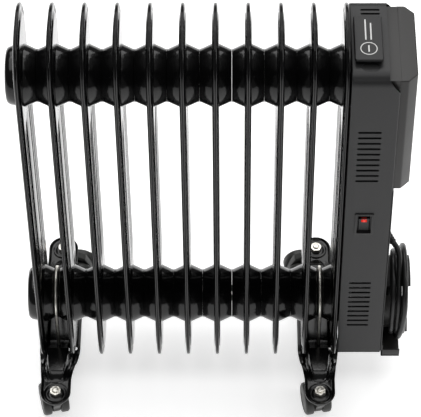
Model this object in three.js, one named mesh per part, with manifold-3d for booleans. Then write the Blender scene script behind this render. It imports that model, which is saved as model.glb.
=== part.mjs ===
// Oil filled radiator heater: eleven stamped steel fins on two headers, a sheet-metal control
// housing at the +X end, two stamped foot plates on twin-wheel casters, and a wound mains cord.
// Units are millimetres. +X runs along the headers to the control housing, -Y is the front,
// +Z is up, and the floor is Z = 0.
import * as THREE from 'three';
import { mergeVertices } from 'three/addons/utils/BufferGeometryUtils.js';
import Module from 'manifold-3d';

const wasm = await Module();
wasm.setup();

// ---------------------------------------------------------------- driving dimensions
const clearance = 0.3; // gap left between two pieces that touch
const sheet = 1; // steel sheet of the fins, the housing and the covers

const finCount = 11;
const finPitch = 37;
const finHeight = 581;
const finDepth = 124;
const finCorner = 57; // radius of a fin's corners
const finLift = 28; // floor to the lowest edge of a fin
const seamThickness = 2.4; // two sheets pressed flat along the welded seam
const seamWidth = 10;
const swellThickness = 7; // over the oil channels

const headerSpacing = 406;
const headerLift = 85.5; // lowest edge of a fin to the lower header's axis
const hubRadius = 35.5; // of a header where it meets a fin
const neckRadius = 30; // of a header halfway between two fins
const stubLength = 4.2; // of the hub on the outer side of the first fin
const capLength = 12.4;
const capRadius = 34.5;
const capEndRadius = 31;
const capWall = 1.5;

const elementRod = 8.5; // diameter of the heating element's sheath
const elementSpread = 20; // between the two runs of the element
const elementReach = 330; // from the flange into the lower header
const elementFlange = 3;
const terminalLength = 18;
const terminalRadius = 2;

const housingLength = 54.7;
const housingDepth = 127.4;
const housingTop = 581.4;
const housingBottom = 73;
const housingCorner = 15.5;
const shieldInset = 2; // housing edge to the heat shield
const shieldHoleGap = 1.2;
const notchLength = 12.2; // cut into the housing's upper edge for the control panel
const notchDrop = 24;

const ventCount = 10;
const ventPitch = 9.4;
const ventLength = 27;
const ventHeight = 3.4;
const upperVentTop = 492;
const lowerVentTop = 215;
const ventMiddle = 23.5; // housing edge to the middle of the vents and of the rocker
const topSlotLength = 22;
const topSlotWidth = 2.8;
const topSlotPlaces = [37.5, 43.8];

const gripLength = 69; // along Y
const gripWidth = 32;
const gripHeight = 8;
const gripMiddleY = -7.5;
const gripMiddle = 19.6; // housing edge to the grip's middle
const scoopLength = 12;
const scoopWidth = 21;

const panelDepth = 117.4; // along Y
const panelTop = 572.6;
const panelHeight = 185;
const panelReach = 20; // how far it stands out of the housing
const panelChamfer = 11;
const panelWall = 2.5;
const fasciaWidth = 84;
const fasciaHeight = 150;
const fasciaThickness = 2.5;
const displayWidth = 52;
const displayHeight = 30;
const displayDrop = 18; // fascia's top to the display
const buttonCount = 4;
const buttonWidth = 26;
const buttonHeight = 11;
const buttonPitch = 19;
const buttonDrop = 64; // fascia's top to the first button's middle
const buttonProud = 1.4;
const buttonTravel = 1;
const buttonFlange = 1.5;
const boardThickness = 1.6;
const boardHeight = 158;

const switchWidth = 23;
const switchHeight = 38;
const switchDepth = 22;
const switchLip = 1.2; // thickness of the rim that lies on the housing
const switchRim = 1.5;
const pocketDepth = 2.4;
const rockerWidth = 13;
const rockerHeight = 26;
const rockerTilt = 9; // degrees to either side of level
const rockerRadius = 42; // of the rocker's dished face
const lensWidth = 7;
const lensHeight = 8;

const footLength = 270;
const footHalfWidth = 26;
const footEndRadius = 19;
const footSheet = 2;
const footFlangeTop = 27.6;
const footFlat = 28; // half length of the low middle stretch
const padTop = 56.5;
const padStart = 96;
const saddleTop = 44;
const ribTop = 63;
const ribHalfWidth = 12;
const noseHalfWidth = 7;
const rimHeight = 3;
const drainRadius = 3.4;

const boltRod = 4.6; // diameter of the U-bolt's rod
const wingSpan = 26;
const wingHubRadius = 5;
const wingHubHeight = 7;

const wheelRadius = 21;
const wheelWidth = 11.5;
const wheelGap = 11; // between the two wheels of a caster
const wheelSides = 20; // flats round a wheel, one of them on the floor
const axleRadius = 3;
const forkWidth = 9.6;
const forkInset = 2.6; // the fork's round end stays inside the wheels' treads
const trail = 20; // stem to axle
const stemRadius = 4;
const stemSpacing = 232; // front stem to rear stem
const nutAcross = 13; // across the flats
const nutHeight = 6.5;
const casterHeadRadius = 13;
const casterTurns = [14, 11, -97, 98]; // degrees, front pair then rear pair

const cordDiameter = 7;
const cordPlaces = 3; // side by side along X
const cordPitch = 7.2;
const coilRadius = 43.5; // cord's middle line round the two hooks
const coilStraight = 24;
const coilMiddleY = -6;
const coilLowerZ = 113;
const coilLayers = 2; // turns that lie over each other
const coilStart = 8.4; // end cover to the first turn's surface
const hookThickness = 3;
const hookLip = 3;
const trayWidth = 102;
const trayReach = 19; // further back than to the front, under the plug
const trayLip = 10; // of the front plate above the shelf
const tabWidth = 10; // of the upper hook's retaining tab, along Y
const tabShift = 3; // forward of the coil's middle
const tabHeight = 20.5;
const reliefLength = 22;
const reliefRootRadius = 6.2;
const reliefTipRadius = 4.4;
const reliefTilt = 36; // degrees between the strain relief and the end cover
const leadBend = 30; // radius of the cord's middle line
const tailLength = 8; // from the coil to the plug
const straightEnd = 3; // the cord leaves the strain relief straight
const plugWidth = 22;
const plugThickness = 17;
const plugLength = 32;
const plugSleeveLength = 9;
const plugSleeveRadius = 5.2;
const bladeWidth = 6.4;
const bladeThickness = 1.5;
const bladeLength = 17;
const bladeSpacing = 12.7;
const groundPin = 4.8;

// ---------------------------------------------------------------- worked out from those
const finFirst = (-(finCount - 1) / 2) * finPitch;
const finLast = -finFirst;
const lowerHeader = finLift + headerLift;
const upperHeader = lowerHeader + headerSpacing;
const housingStart = finLast + swellThickness / 2 + clearance;
const housingEnd = housingStart + housingLength;
const capEnd = finFirst - stubLength - clearance - capLength;
const hubEnd = finLast + finPitch / 2;
const shieldX = housingStart + shieldInset;
const coverStart = housingEnd + clearance;
const coverEnd = coverStart + sheet;
const panelEnd = housingEnd + panelReach;
const panelMiddleZ = panelTop - panelHeight / 2;
const ventX = housingStart + ventMiddle;
const rockerZ = (upperVentTop - (ventCount - 1) * ventPitch + lowerVentTop) / 2 + 18;
const faceY = -housingDepth / 2;
const coilInner = coverEnd + coilStart;
const coilWidth = (cordPlaces - 1) * cordPitch + cordDiameter;
const hookEnd = coilInner + coilWidth + clearance + 0.6 + hookLip;
const coilUpperZ = coilLowerZ + coilStraight;
const coilOuter = coilRadius + cordDiameter * (coilLayers - 0.5);
const saddleRadius = coilRadius - cordDiameter / 2 - clearance - 0.6;
const layerStep = coilInner + cordDiameter + clearance; // the second layer starts here
const footPlaces = [finFirst + finPitch / 2, finLast - finPitch / 2];
const boltY = neckRadius + boltRod / 2 + 0.6;

// ---------------------------------------------------------------- materials
const paint = (color, roughness, metalness) =>
  new THREE.MeshStandardMaterial({ color, roughness, metalness });
const glossBlack = () => paint(0x0b0b0c, 0.12, 0);
const satinBlack = () => paint(0x2b2b2c, 0.45, 0);
const darkPlastic = () => paint(0x262627, 0.5, 0);
const casterPlastic = () => paint(0x2e2f2d, 0.55, 0);
const zinc = () => paint(0xd9d4c8, 0.2, 1);
const steel = () => paint(0x9a9a98, 0.35, 1);
const rubber = () => paint(0x171717, 0.6, 0);
const redLens = () => paint(0xb01515, 0.2, 0);
const boardGreen = () => paint(0x1d5a35, 0.6, 0);
const smokedWindow = () => paint(0x08090a, 0.08, 0);

// ---------------------------------------------------------------- solids
const alongX = new THREE.Matrix4().makeBasis(
  new THREE.Vector3(0, 1, 0),
  new THREE.Vector3(0, 0, 1),
  new THREE.Vector3(1, 0, 0),
);
const alongFront = new THREE.Matrix4().makeBasis(
  new THREE.Vector3(1, 0, 0),
  new THREE.Vector3(0, 0, 1),
  new THREE.Vector3(0, -1, 0),
);
const turnedX = new THREE.Matrix4().makeBasis(
  new THREE.Vector3(0, 1, 0),
  new THREE.Vector3(1, 0, 0),
  new THREE.Vector3(0, 0, -1),
);
const turnedZ = new THREE.Matrix4().makeBasis(
  new THREE.Vector3(1, 0, 0),
  new THREE.Vector3(0, 0, 1),
  new THREE.Vector3(0, -1, 0),
);

// A closed three.js geometry as a solid that can be joined and cut.
function solid(geometry) {
  const bare = geometry.clone();
  bare.deleteAttribute('normal');
  bare.deleteAttribute('uv');
  const merged = mergeVertices(bare, 1e-4);
  const index = merged.index.array;
  const kept = [];
  for (let i = 0; i < index.length; i += 3) {
    const [a, b, c] = [index[i], index[i + 1], index[i + 2]];
    if (a !== b && b !== c && c !== a) kept.push(a, b, c);
  }
  const vertProperties = Float32Array.from(merged.attributes.position.array);
  return new wasm.Manifold(
    new wasm.Mesh({ numProp: 3, vertProperties, triVerts: Uint32Array.from(kept) }),
  );
}

function geometryOf(shape) {
  const made = shape.getMesh();
  const geometry = new THREE.BufferGeometry();
  geometry.setAttribute('position', new THREE.BufferAttribute(made.vertProperties, 3));
  geometry.setIndex(new THREE.BufferAttribute(made.triVerts, 1));
  geometry.computeVertexNormals();
  return geometry;
}

const join = (...parts) => parts.reduce((sum, part) => sum.add(part));
const cut = (body, ...tools) => tools.reduce((left, tool) => left.subtract(tool), body);

function block(low, high) {
  const size = high.map((h, i) => h - low[i]);
  const middle = high.map((h, i) => (h + low[i]) / 2);
  return solid(new THREE.BoxGeometry(...size).translate(...middle));
}

// A flat outline carried from one place to another along X, towards the front, or along Z.
function pulled(outline, from, to, frame = null) {
  const shape = new THREE.Shape(outline.map(([u, v]) => new THREE.Vector2(u, v)));
  const geometry = new THREE.ExtrudeGeometry(shape, { depth: to - from, bevelEnabled: false });
  geometry.translate(0, 0, from);
  if (frame) geometry.applyMatrix4(frame);
  return solid(geometry);
}

// A profile of [radius, height] points, from the axis up and back to it, turned round an axis.
function turned(profile, sides, frame) {
  const points = profile.map(([r, h]) => new THREE.Vector2(r, h));
  const geometry = new THREE.LatheGeometry(points, sides);
  geometry.applyMatrix4(frame);
  return solid(geometry);
}

const drum = (radius, from, to, sides, frame) =>
  turned([[0, from], [radius, from], [radius, to], [0, to]], sides, frame);
const drumX = (radius, from, to, y, z, sides = 16) =>
  drum(radius, from, to, sides, turnedX).translate([0, y, z]);
const drumZ = (radius, from, to, x, y, sides = 16) =>
  drum(radius, from, to, sides, turnedZ).translate([x, y, 0]);

// A rectangle with round corners, as points running anticlockwise.
function roundRectangle(width, height, radius, steps, middleU = 0, middleV = 0) {
  const points = [];
  for (let corner = 0; corner < 4; corner += 1) {
    const right = corner === 0 || corner === 3 ? 1 : -1;
    const up = corner < 2 ? 1 : -1;
    for (let i = 0; i <= steps; i += 1) {
      const angle = ((corner + i / steps) * Math.PI) / 2;
      points.push([
        middleU + right * (width / 2 - radius) + radius * Math.cos(angle),
        middleV + up * (height / 2 - radius) + radius * Math.sin(angle),
      ]);
    }
  }
  return points;
}

// A rod of round section along a smooth curve through the points.
function rod(points, radius, steps, sides = 10) {
  const path = new THREE.CatmullRomCurve3(points.map((p) => new THREE.Vector3(...p)));
  const section = new THREE.Shape();
  section.absarc(0, 0, radius, 0, 2 * Math.PI);
  return solid(
    new THREE.ExtrudeGeometry(section, {
      steps,
      curveSegments: sides,
      extrudePath: path,
      bevelEnabled: false,
    }),
  );
}

const radiator = new THREE.Group();
function add(name, shape, material) {
  const mesh = new THREE.Mesh(geometryOf(shape), material);
  mesh.name = name;
  radiator.add(mesh);
}

// ---------------------------------------------------------------- radiator core
// One hub, a cone from the fin to the neck, hollow from end to end.
function hubSide(length, inset, z, side, sides) {
  const near = hubRadius - inset;
  const far = near - (hubRadius - neckRadius) * (length / (finPitch / 2));
  const profile = side > 0
    ? [[0, 0], [near, 0], [far, length + inset], [0, length + inset]]
    : [[0, -length - inset], [far, -length - inset], [near, 0], [0, 0]];
  return turned(profile, sides, turnedX).translate([0, 0, z]);
}

function fin(number) {
  const middleZ = finLift + finHeight / 2;
  const outline = (inset, steps) =>
    roundRectangle(finDepth - 2 * inset, finHeight - 2 * inset, finCorner - inset, steps, 0, middleZ);
  const plate = (inset, thickness, steps) =>
    pulled(outline(inset, steps), -thickness / 2, thickness / 2, alongX);
  const reach = finPitch / 2 - clearance / 2;
  const leftReach = number === 1 ? stubLength : reach;
  const hubs = (inset, sides) =>
    [lowerHeader, upperHeader].flatMap((z) => [
      hubSide(reach, inset, z, 1, sides),
      hubSide(leftReach, inset, z, -1, sides),
    ]);
  const swell = plate(seamWidth, swellThickness, 4);
  const outside = join(plate(0, seamThickness, 4), swell, ...hubs(0, 14));
  const channel = plate(seamWidth + 3 * sheet, swellThickness - 2 * sheet, 2);
  const inside = join(channel, ...hubs(2 * sheet, 8));
  return cut(outside, inside).translate([finFirst + (number - 1) * finPitch, 0, 0]);
}

function endCap(z) {
  const base = finFirst - stubLength - clearance;
  const outside = turned(
    [[0, capEnd], [capEndRadius - 3, capEnd], [capEndRadius, capEnd + 3], [capRadius, base], [0, base]],
    20,
    turnedX,
  );
  const inside = turned(
    [
      [0, capEnd + capWall],
      [capEndRadius - capWall - 1, capEnd + capWall],
      [capRadius - capWall, base + 1],
      [0, base + 1],
    ],
    10,
    turnedX,
  );
  return cut(outside, inside).translate([0, 0, z]);
}

function upperPlug() {
  const start = hubEnd;
  return join(
    drumX(neckRadius, start, start + 2, 0, upperHeader, 20),
    drumX(8, start + 1, start + 8, 0, upperHeader, 6),
  );
}

// Two straight runs joined by a half turn, held in a flange with two terminals.
function heatingElement() {
  const flangeX = hubEnd;
  const far = flangeX - elementReach;
  const half = elementSpread / 2;
  const straight = 4;
  const points = [];
  for (let i = 0; i <= straight; i += 1) {
    points.push([flangeX + 1 - (i * (elementReach - half)) / straight, 0, half]);
  }
  for (let i = 1; i < 6; i += 1) {
    const angle = (i * Math.PI) / 6;
    points.push([far + half - half * Math.sin(angle), 0, half * Math.cos(angle)]);
  }
  for (let i = straight; i >= 0; i -= 1) {
    points.push([flangeX + 1 - (i * (elementReach - half)) / straight, 0, -half]);
  }
  const sheath = rod(points, elementRod / 2, 20, 4).translate([0, 0, lowerHeader]);
  const flange = drumX(neckRadius, flangeX, flangeX + elementFlange, 0, lowerHeader, 20);
  const pins = [half, -half].map((dz) =>
    drumX(terminalRadius, flangeX + 1, flangeX + elementFlange + terminalLength, 0, lowerHeader + dz, 8),
  );
  return join(sheath, flange, ...pins);
}

for (let number = 1; number <= finCount; number += 1) {
  add(`fin_${String(number).padStart(2, '0')}`, fin(number), glossBlack());
}
add('end_cap_upper', endCap(upperHeader), satinBlack());
add('end_cap_lower', endCap(lowerHeader), satinBlack());
add('filler_plug', upperPlug(), steel());
add('heating_element', heatingElement(), steel());

// ---------------------------------------------------------------- control housing
// Front, top and back in one bent sheet, as an outline in Y and Z.
function archOutline(inset) {
  const half = housingDepth / 2 - inset;
  const radius = housingCorner - inset;
  const top = housingTop - inset;
  const steps = 5;
  const points = [];
  for (let i = 0; i <= steps; i += 1) {
    const angle = (i * Math.PI) / 2 / steps;
    points.push([half - radius + radius * Math.cos(angle), top - radius + radius * Math.sin(angle)]);
  }
  const mirrored = points.map(([y, z]) => [-y, z]).reverse();
  return [[half, housingBottom], ...points, ...mirrored, [-half, housingBottom]];
}

function frontSlot(x, z, width, height) {
  return block([x - width / 2, faceY - 2, z - height / 2], [x + width / 2, faceY + 3, z + height / 2]);
}

function vents(topZ, mirror) {
  const slots = [];
  for (let i = 0; i < ventCount; i += 1) {
    const slot = frontSlot(ventX, topZ - i * ventPitch, ventLength, ventHeight);
    slots.push(mirror ? slot.mirror([0, 1, 0]) : slot);
  }
  return slots;
}

function housingWrap() {
  const arch = pulled(archOutline(0), housingStart, housingEnd, alongX);
  const hollow = archOutline(sheet).map(([y, z]) => [y, z === housingBottom ? z - 5 : z]);
  const shell = cut(arch, pulled(hollow, housingStart - 1, housingEnd + 1, alongX));
  const notchStart = housingEnd - notchLength;
  const notch = pulled(
    [
      [notchStart, housingTop + 5],
      [notchStart, housingTop - 6],
      [housingEnd, housingTop - notchDrop],
      [housingEnd + 5, housingTop - notchDrop],
      [housingEnd + 5, housingTop + 5],
    ],
    -housingDepth,
    housingDepth,
    alongFront,
  );
  const topSlots = topSlotPlaces.map((y) =>
    block(
      [ventX - topSlotLength / 2, y - topSlotWidth / 2, housingTop - 3],
      [ventX + topSlotLength / 2, y + topSlotWidth / 2, housingTop + 3],
    ),
  );
  const rockerOpening = frontSlot(
    ventX,
    rockerZ,
    switchWidth - 2 * switchRim,
    switchHeight - 2 * switchRim,
  );
  const scoop = block(
    [ventX - scoopWidth / 2 - 2, gripMiddleY - gripLength / 2 - scoopLength, housingTop - 3],
    [ventX + scoopWidth / 2 - 2, gripMiddleY - gripLength / 2 - 1, housingTop + 3],
  );
  return cut(
    shell,
    notch,
    ...topSlots,
    rockerOpening,
    scoop,
    ...vents(upperVentTop, false),
    ...vents(lowerVentTop, false),
    ...vents(upperVentTop, true),
    ...vents(lowerVentTop, true),
  );
}

// A flat sheet that closes the housing across X, inside the bent sheet.
function crossSheet(from, inset) {
  return pulled(archOutline(inset), from, from + sheet, alongX);
}

function heatShield() {
  const sheetInside = crossSheet(shieldX, sheet + clearance);
  const holes = [lowerHeader, upperHeader].map((z) =>
    drumX(hubRadius + shieldHoleGap, shieldX - 2, shieldX + sheet + 2, 0, z, 24),
  );
  return cut(sheetInside, ...holes);
}

// The end cover stops below the control panel, which closes the rest of the housing.
function endCover() {
  const top = panelTop - panelHeight - clearance;
  const cover = block(
    [coverStart, faceY, housingBottom],
    [coverEnd, -faceY, top],
  );
  const flange = block(
    [coverStart - 10, faceY + sheet + clearance, housingBottom + sheet + 2 * clearance],
    [coverStart + sheet / 2, faceY + 2 * sheet + clearance, top - 2],
  );
  return join(cover, flange, flange.mirror([0, 1, 0]));
}

function basePlate() {
  const low = [shieldX + sheet + clearance, faceY + sheet + clearance, housingBottom];
  const high = [coverStart - clearance, -faceY - sheet - clearance, housingBottom + sheet];
  return block(low, high);
}

function grip() {
  const low = housingTop + clearance;
  const outline = roundRectangle(gripWidth, gripLength, 3, 3, housingStart + gripMiddle, gripMiddleY);
  const body = pulled(outline, low, low + gripHeight);
  const under = block(
    [housingStart, gripMiddleY - gripLength, low - 1],
    [housingEnd, gripMiddleY - gripLength / 2 + 7, low + gripHeight * 0.45],
  );
  return cut(body, under);
}

add('housing_wrap', housingWrap(), satinBlack());
add('heat_shield', heatShield(), steel());
add('end_cover', endCover(), satinBlack());
add('base_plate', basePlate(), satinBlack());
add('top_grip', grip(), darkPlastic());

// ---------------------------------------------------------------- control panel
// The panel's plan in X and Y, with its two outer edges chamfered.
function panelPlan(inset, startX) {
  const half = panelDepth / 2 - inset;
  const end = panelEnd - inset;
  const chamfer = panelChamfer - inset * 0.4;
  return [
    [startX, -half],
    [end - chamfer, -half],
    [end, -half + chamfer],
    [end, half - chamfer],
    [end - chamfer, half],
    [startX, half],
  ];
}

const fasciaTop = panelMiddleZ + fasciaHeight / 2;
const fasciaX = panelEnd - fasciaThickness;

function acrossX(width, height, radius, z, from, to, steps = 3) {
  return pulled(roundRectangle(width, height, radius, steps, 0, z), from, to, alongX);
}

function panelShell() {
  const bottom = panelTop - panelHeight;
  const outer = pulled(panelPlan(0, housingEnd + clearance), bottom, panelTop);
  const neckTop = panelTop;
  const neck = pulled(
    [
      [housingEnd + 1, neckTop],
      [housingEnd - notchLength + clearance, neckTop],
      [housingEnd - notchLength + clearance, housingTop - 12],
      [housingEnd + 1, housingTop - notchDrop - 4],
    ].reverse(),
    -panelDepth / 2,
    panelDepth / 2,
    alongFront,
  );
  const inner = pulled(
    panelPlan(panelWall, housingEnd - 20),
    bottom + panelWall,
    panelTop - panelWall,
  );
  const window = acrossX(fasciaWidth, fasciaHeight, 4, panelMiddleZ, panelEnd - 10, panelEnd + 5);
  return cut(join(outer, neck), inner, window);
}

const buttonZ = (number) => fasciaTop - buttonDrop - (number - 1) * buttonPitch;
const displayZ = fasciaTop - displayDrop - displayHeight / 2;

function fascia() {
  const gap = 2 * clearance;
  const plate = acrossX(fasciaWidth - gap, fasciaHeight - gap, 4, panelMiddleZ, fasciaX, panelEnd);
  const holes = [];
  for (let number = 1; number <= buttonCount; number += 1) {
    holes.push(
      acrossX(buttonWidth + 1, buttonHeight + 1, 4.5, buttonZ(number), fasciaX - 5, panelEnd + 5),
    );
  }
  const opening = acrossX(displayWidth, displayHeight, 2, displayZ, fasciaX - 5, panelEnd + 5);
  return cut(plate, opening, ...holes);
}

function displayWindow() {
  const gap = 2 * clearance;
  return acrossX(displayWidth - gap, displayHeight - gap, 2, displayZ, fasciaX, panelEnd - 0.4);
}

const boardX = fasciaX - 9;

// A cap that shows through the fascia, with a flange behind it that stops it falling out.
function button(number) {
  const z = buttonZ(number);
  const back = fasciaX - clearance;
  return join(
    acrossX(buttonWidth, buttonHeight, 4, z, back - 1, panelEnd + buttonProud),
    acrossX(buttonWidth + 4, buttonHeight + 3.4, 5, z, back - buttonFlange, back),
  );
}

function controlBoard() {
  const half = panelDepth / 2 - panelWall - 4;
  const board = block(
    [boardX - boardThickness, -half, panelMiddleZ - boardHeight / 2],
    [boardX, half, panelMiddleZ + boardHeight / 2],
  );
  const parts = [];
  const switchTop = fasciaX - clearance - buttonFlange - buttonTravel - clearance;
  for (let number = 1; number <= buttonCount; number += 1) {
    const z = buttonZ(number);
    parts.push(block([boardX - 0.5, -3, z - 3], [switchTop, 3, z + 3]));
  }
  const relay = block([boardX - 12, -28, panelMiddleZ - 62], [boardX - 1, -8, panelMiddleZ - 34]);
  const readout = block(
    [boardX - 0.5, -displayWidth / 2 + 2, displayZ - displayHeight / 2 + 2],
    [fasciaX - clearance, displayWidth / 2 - 2, displayZ + displayHeight / 2 - 2],
  );
  return join(board, relay, readout, ...parts);
}

add('panel_shell', panelShell(), darkPlastic());
add('panel_fascia', fascia(), smokedWindow());
add('display_window', displayWindow(), smokedWindow());
for (let number = 1; number <= buttonCount; number += 1) {
  add(`button_${number}`, button(number), darkPlastic());
}
add('control_board', controlBoard(), boardGreen());

// ---------------------------------------------------------------- power rocker
// The switch body fills the housing's opening, with a rim outside and a pocket for the rocker.
function switchFrame() {
  const x = ventX;
  const gap = 2 * clearance;
  const z = rockerZ;
  const rimOutline = roundRectangle(switchWidth, switchHeight, 2, 2, x, z);
  const rim = pulled(rimOutline, -faceY + clearance, -faceY + clearance + switchLip, alongFront);
  const width = switchWidth - 2 * switchRim - gap;
  const height = switchHeight - 2 * switchRim - gap;
  const body = block(
    [x - width / 2, faceY - clearance - 0.5, z - height / 2],
    [x + width / 2, faceY + switchDepth, z + height / 2],
  );
  const pocket = block(
    [x - width / 2 + 1.2, faceY - 5, z - height / 2 + 1.2],
    [x + width / 2 - 1.2, faceY + pocketDepth, z + height / 2 - 1.2],
  );
  const well = block(
    [x - rockerWidth / 2 - 0.6, faceY - 5, z - rockerHeight / 2 - 1],
    [x + rockerWidth / 2 + 0.6, faceY + 16, z + rockerHeight / 2 + 1],
  );
  return cut(join(rim, body), pocket, well);
}

const rockerPivotY = faceY + 8;

// The rocker seen from its side: a dished face on a rounded keel, as points in Y and Z.
function rockerSide() {
  const half = rockerHeight / 2;
  const dish = rockerRadius - Math.sqrt(rockerRadius ** 2 - half ** 2);
  const face = [];
  const steps = 8;
  for (let i = 0; i <= steps; i += 1) {
    const z = half - (i * rockerHeight) / steps;
    const sag = rockerRadius - Math.sqrt(rockerRadius ** 2 - z ** 2);
    face.push([-8 + dish - sag, z]);
  }
  return [...face, [0, -5], [3.5, 0], [0, 5]];
}

function tilted(shape) {
  return shape.rotate([rockerTilt, 0, 0]).translate([0, rockerPivotY, rockerZ]);
}

function lensTool(grow, depth) {
  return block(
    [ventX - lensWidth / 2 - grow, -14, 2 - grow],
    [ventX + lensWidth / 2 + grow, depth, 2 + lensHeight + grow],
  );
}

function rocker() {
  const body = pulled(rockerSide(), ventX - rockerWidth / 2, ventX + rockerWidth / 2, alongX);
  return tilted(cut(body, lensTool(0, -4)));
}

function rockerLens() {
  const body = pulled(rockerSide(), ventX - rockerWidth / 2, ventX + rockerWidth / 2, alongX);
  return tilted(body.intersect(lensTool(-clearance, -4 - clearance)));
}

add('switch_frame', switchFrame(), darkPlastic());
add('rocker', rocker(), darkPlastic());
add('rocker_lens', rockerLens(), redLens());

// ---------------------------------------------------------------- inside the housing
function thermalCutout() {
  const x = shieldX + sheet + clearance;
  const z = lowerHeader + 90;
  return join(
    drumX(8, x, x + 9, 0, z, 16),
    block([x, -14, z - 4], [x + 0.8, 14, z + 4]),
    block([x + 8, -6, z - 2.5], [x + 15, -5, z + 2.5]),
    block([x + 8, 5, z - 2.5], [x + 15, 6, z + 2.5]),
  );
}

function tipOverSwitch() {
  const z = housingBottom + sheet + clearance;
  const x = (shieldX + coverStart) / 2 + 6;
  return join(
    block([x - 9, 22, z], [x + 9, 44, z + 26]),
    block([x - 3, 30, z + 25], [x + 3, 36, z + 32]),
  );
}

add('thermal_cutout', thermalCutout(), steel());
add('tip_over_switch', tipOverSwitch(), darkPlastic());

// ---------------------------------------------------------------- foot plates
const ramp = (value, from, to) => THREE.MathUtils.smoothstep(value, from, to);
const mix = THREE.MathUtils.lerp;

function footHalf(y) {
  const padMiddle = footLength / 2 - footEndRadius;
  if (y > padMiddle) return Math.sqrt(Math.max(footEndRadius ** 2 - (y - padMiddle) ** 2, 1));
  return mix(footHalfWidth, footEndRadius, THREE.MathUtils.clamp((y - footFlat) / (padStart - footFlat), 0, 1));
}

// Height of the upper surface: low flanges beside a central rib, rising to a pad with a rim.
function footHeight(across, y, half) {
  const flange = mix(footFlangeTop - clearance, padTop, ramp(y, footFlat, padStart));
  const hump = mix(saddleTop, ribTop, ramp(y, 24, 52));
  const rib = mix(hump, padTop, ramp(y, padStart - 10, padStart + 2));
  const ribHalf = mix(ribHalfWidth, noseHalfWidth, ramp(y, 50, padStart));
  const side = 1 - ramp(Math.abs(across), ribHalf, ribHalf + 4);
  const rim = y > 60 ? rimHeight * ramp(Math.abs(across), half - 3.5, half - 0.5) : 0;
  const endRim = rimHeight * ramp(y, footLength / 2 - 3.5, footLength / 2 - 0.5);
  return mix(flange, Math.max(rib, flange), side) + Math.max(rim, endRim);
}

// A pressed sheet: the upper surface on a grid, the lower one a sheet's thickness under it.
function footPlate(x) {
  const stations = [0, 24, 38, 52, 80, 94, 104, 118, 129, footLength / 2];
  const along = [...stations.slice(1).reverse().map((y) => -y), ...stations];
  const shares = (y, half) => {
    const ribHalf = mix(ribHalfWidth, noseHalfWidth, ramp(y, 50, padStart));
    const inner = Math.min(ribHalf, half * 0.4);
    const outer = Math.min(ribHalf + 4, half * 0.7);
    const right = [inner, outer, Math.max(half - 3.5, half * 0.8), half];
    return [...[...right].reverse().map((a) => -a), 0, ...right];
  };
  const top = [];
  for (const y of along) {
    const half = footHalf(Math.abs(y));
    for (const a of shares(Math.abs(y), half)) {
      top.push([x + a, y, footHeight(a, Math.abs(y), half)]);
    }
  }
  return sheetSolid(top, 9, along.length, footSheet);
}

// A closed solid from a grid of points, row by row, and a copy of it moved down.
function sheetSolid(top, columns, rows, thickness) {
  const low = top.map(([x, y, z]) => [x, y, z - thickness]);
  const positions = [...top, ...low].flat();
  const count = top.length;
  const faces = [];
  const quad = (a, b, c, d) => faces.push(a, b, c, a, c, d);
  for (let r = 0; r < rows - 1; r += 1) {
    for (let c = 0; c < columns - 1; c += 1) {
      const a = r * columns + c;
      quad(a, a + 1, a + columns + 1, a + columns);
      quad(count + a, count + a + columns, count + a + columns + 1, count + a + 1);
    }
    const left = r * columns;
    const right = left + columns - 1;
    quad(left, left + columns, count + left + columns, count + left);
    quad(right, count + right, count + right + columns, right + columns);
  }
  for (let c = 0; c < columns - 1; c += 1) {
    const last = (rows - 1) * columns + c;
    quad(c, count + c, count + c + 1, c + 1);
    quad(last, last + 1, count + last + 1, count + last);
  }
  const geometry = new THREE.BufferGeometry();
  geometry.setAttribute('position', new THREE.Float32BufferAttribute(positions, 3));
  geometry.setIndex(faces);
  return solid(geometry);
}

function foot(x) {
  const holes = [];
  for (const side of [-1, 1]) {
    holes.push(drumZ(stemRadius + clearance, 20, 90, x, (side * stemSpacing) / 2, 12));
    holes.push(drumZ(boltRod / 2 + clearance, 10, 90, x, side * boltY, 10));
    holes.push(drumZ(drainRadius, 10, 90, x + 19, side * 24, 10));
  }
  return cut(footPlate(x), ...holes);
}

function uBolt(x) {
  const bottom = saddleTop - 18;
  const points = [[x, -boltY, bottom], [x, -boltY, (bottom + lowerHeader) / 2]];
  for (let i = 0; i <= 8; i += 1) {
    const angle = Math.PI - (i * Math.PI) / 8;
    points.push([x, boltY * Math.cos(angle), lowerHeader + boltY * Math.sin(angle)]);
  }
  points.push([x, boltY, (bottom + lowerHeader) / 2], [x, boltY, bottom]);
  return rod(points, boltRod / 2, 18, 4);
}

function wingNut(x, side) {
  const top = saddleTop - footSheet - clearance;
  const y = side * boltY;
  const hub = drumZ(wingHubRadius, top - wingHubHeight, top, x, y, 8);
  const wing = roundRectangle(wingSpan, 9, 4, 1, y, top - wingHubHeight / 2 - 1);
  const wings = pulled(wing, x - 1.2, x + 1.2, alongX);
  return cut(join(hub, wings), drumZ(boltRod / 2 + clearance, 0, 60, x, y, 10));
}

footPlaces.forEach((x, i) => {
  const end = ['left', 'right'][i];
  add(`foot_plate_${end}`, foot(x), glossBlack());
  add(`u_bolt_${end}`, uBolt(x), zinc());
  add(`wing_nut_${end}_front`, wingNut(x, -1), zinc());
  add(`wing_nut_${end}_rear`, wingNut(x, 1), zinc());
});

// ---------------------------------------------------------------- casters
const headTop = padTop - footSheet - clearance;

// The threaded stem with its nut, fixed in the foot plate.
function casterStem(x, y) {
  const nutLow = padTop + clearance;
  const nutRadius = nutAcross / Math.sqrt(3);
  return join(
    drumZ(stemRadius, 34, nutLow + nutHeight + 2.5, x, y, 12),
    drumZ(nutRadius, nutLow, nutLow + nutHeight, x, y, 6),
  );
}

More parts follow.
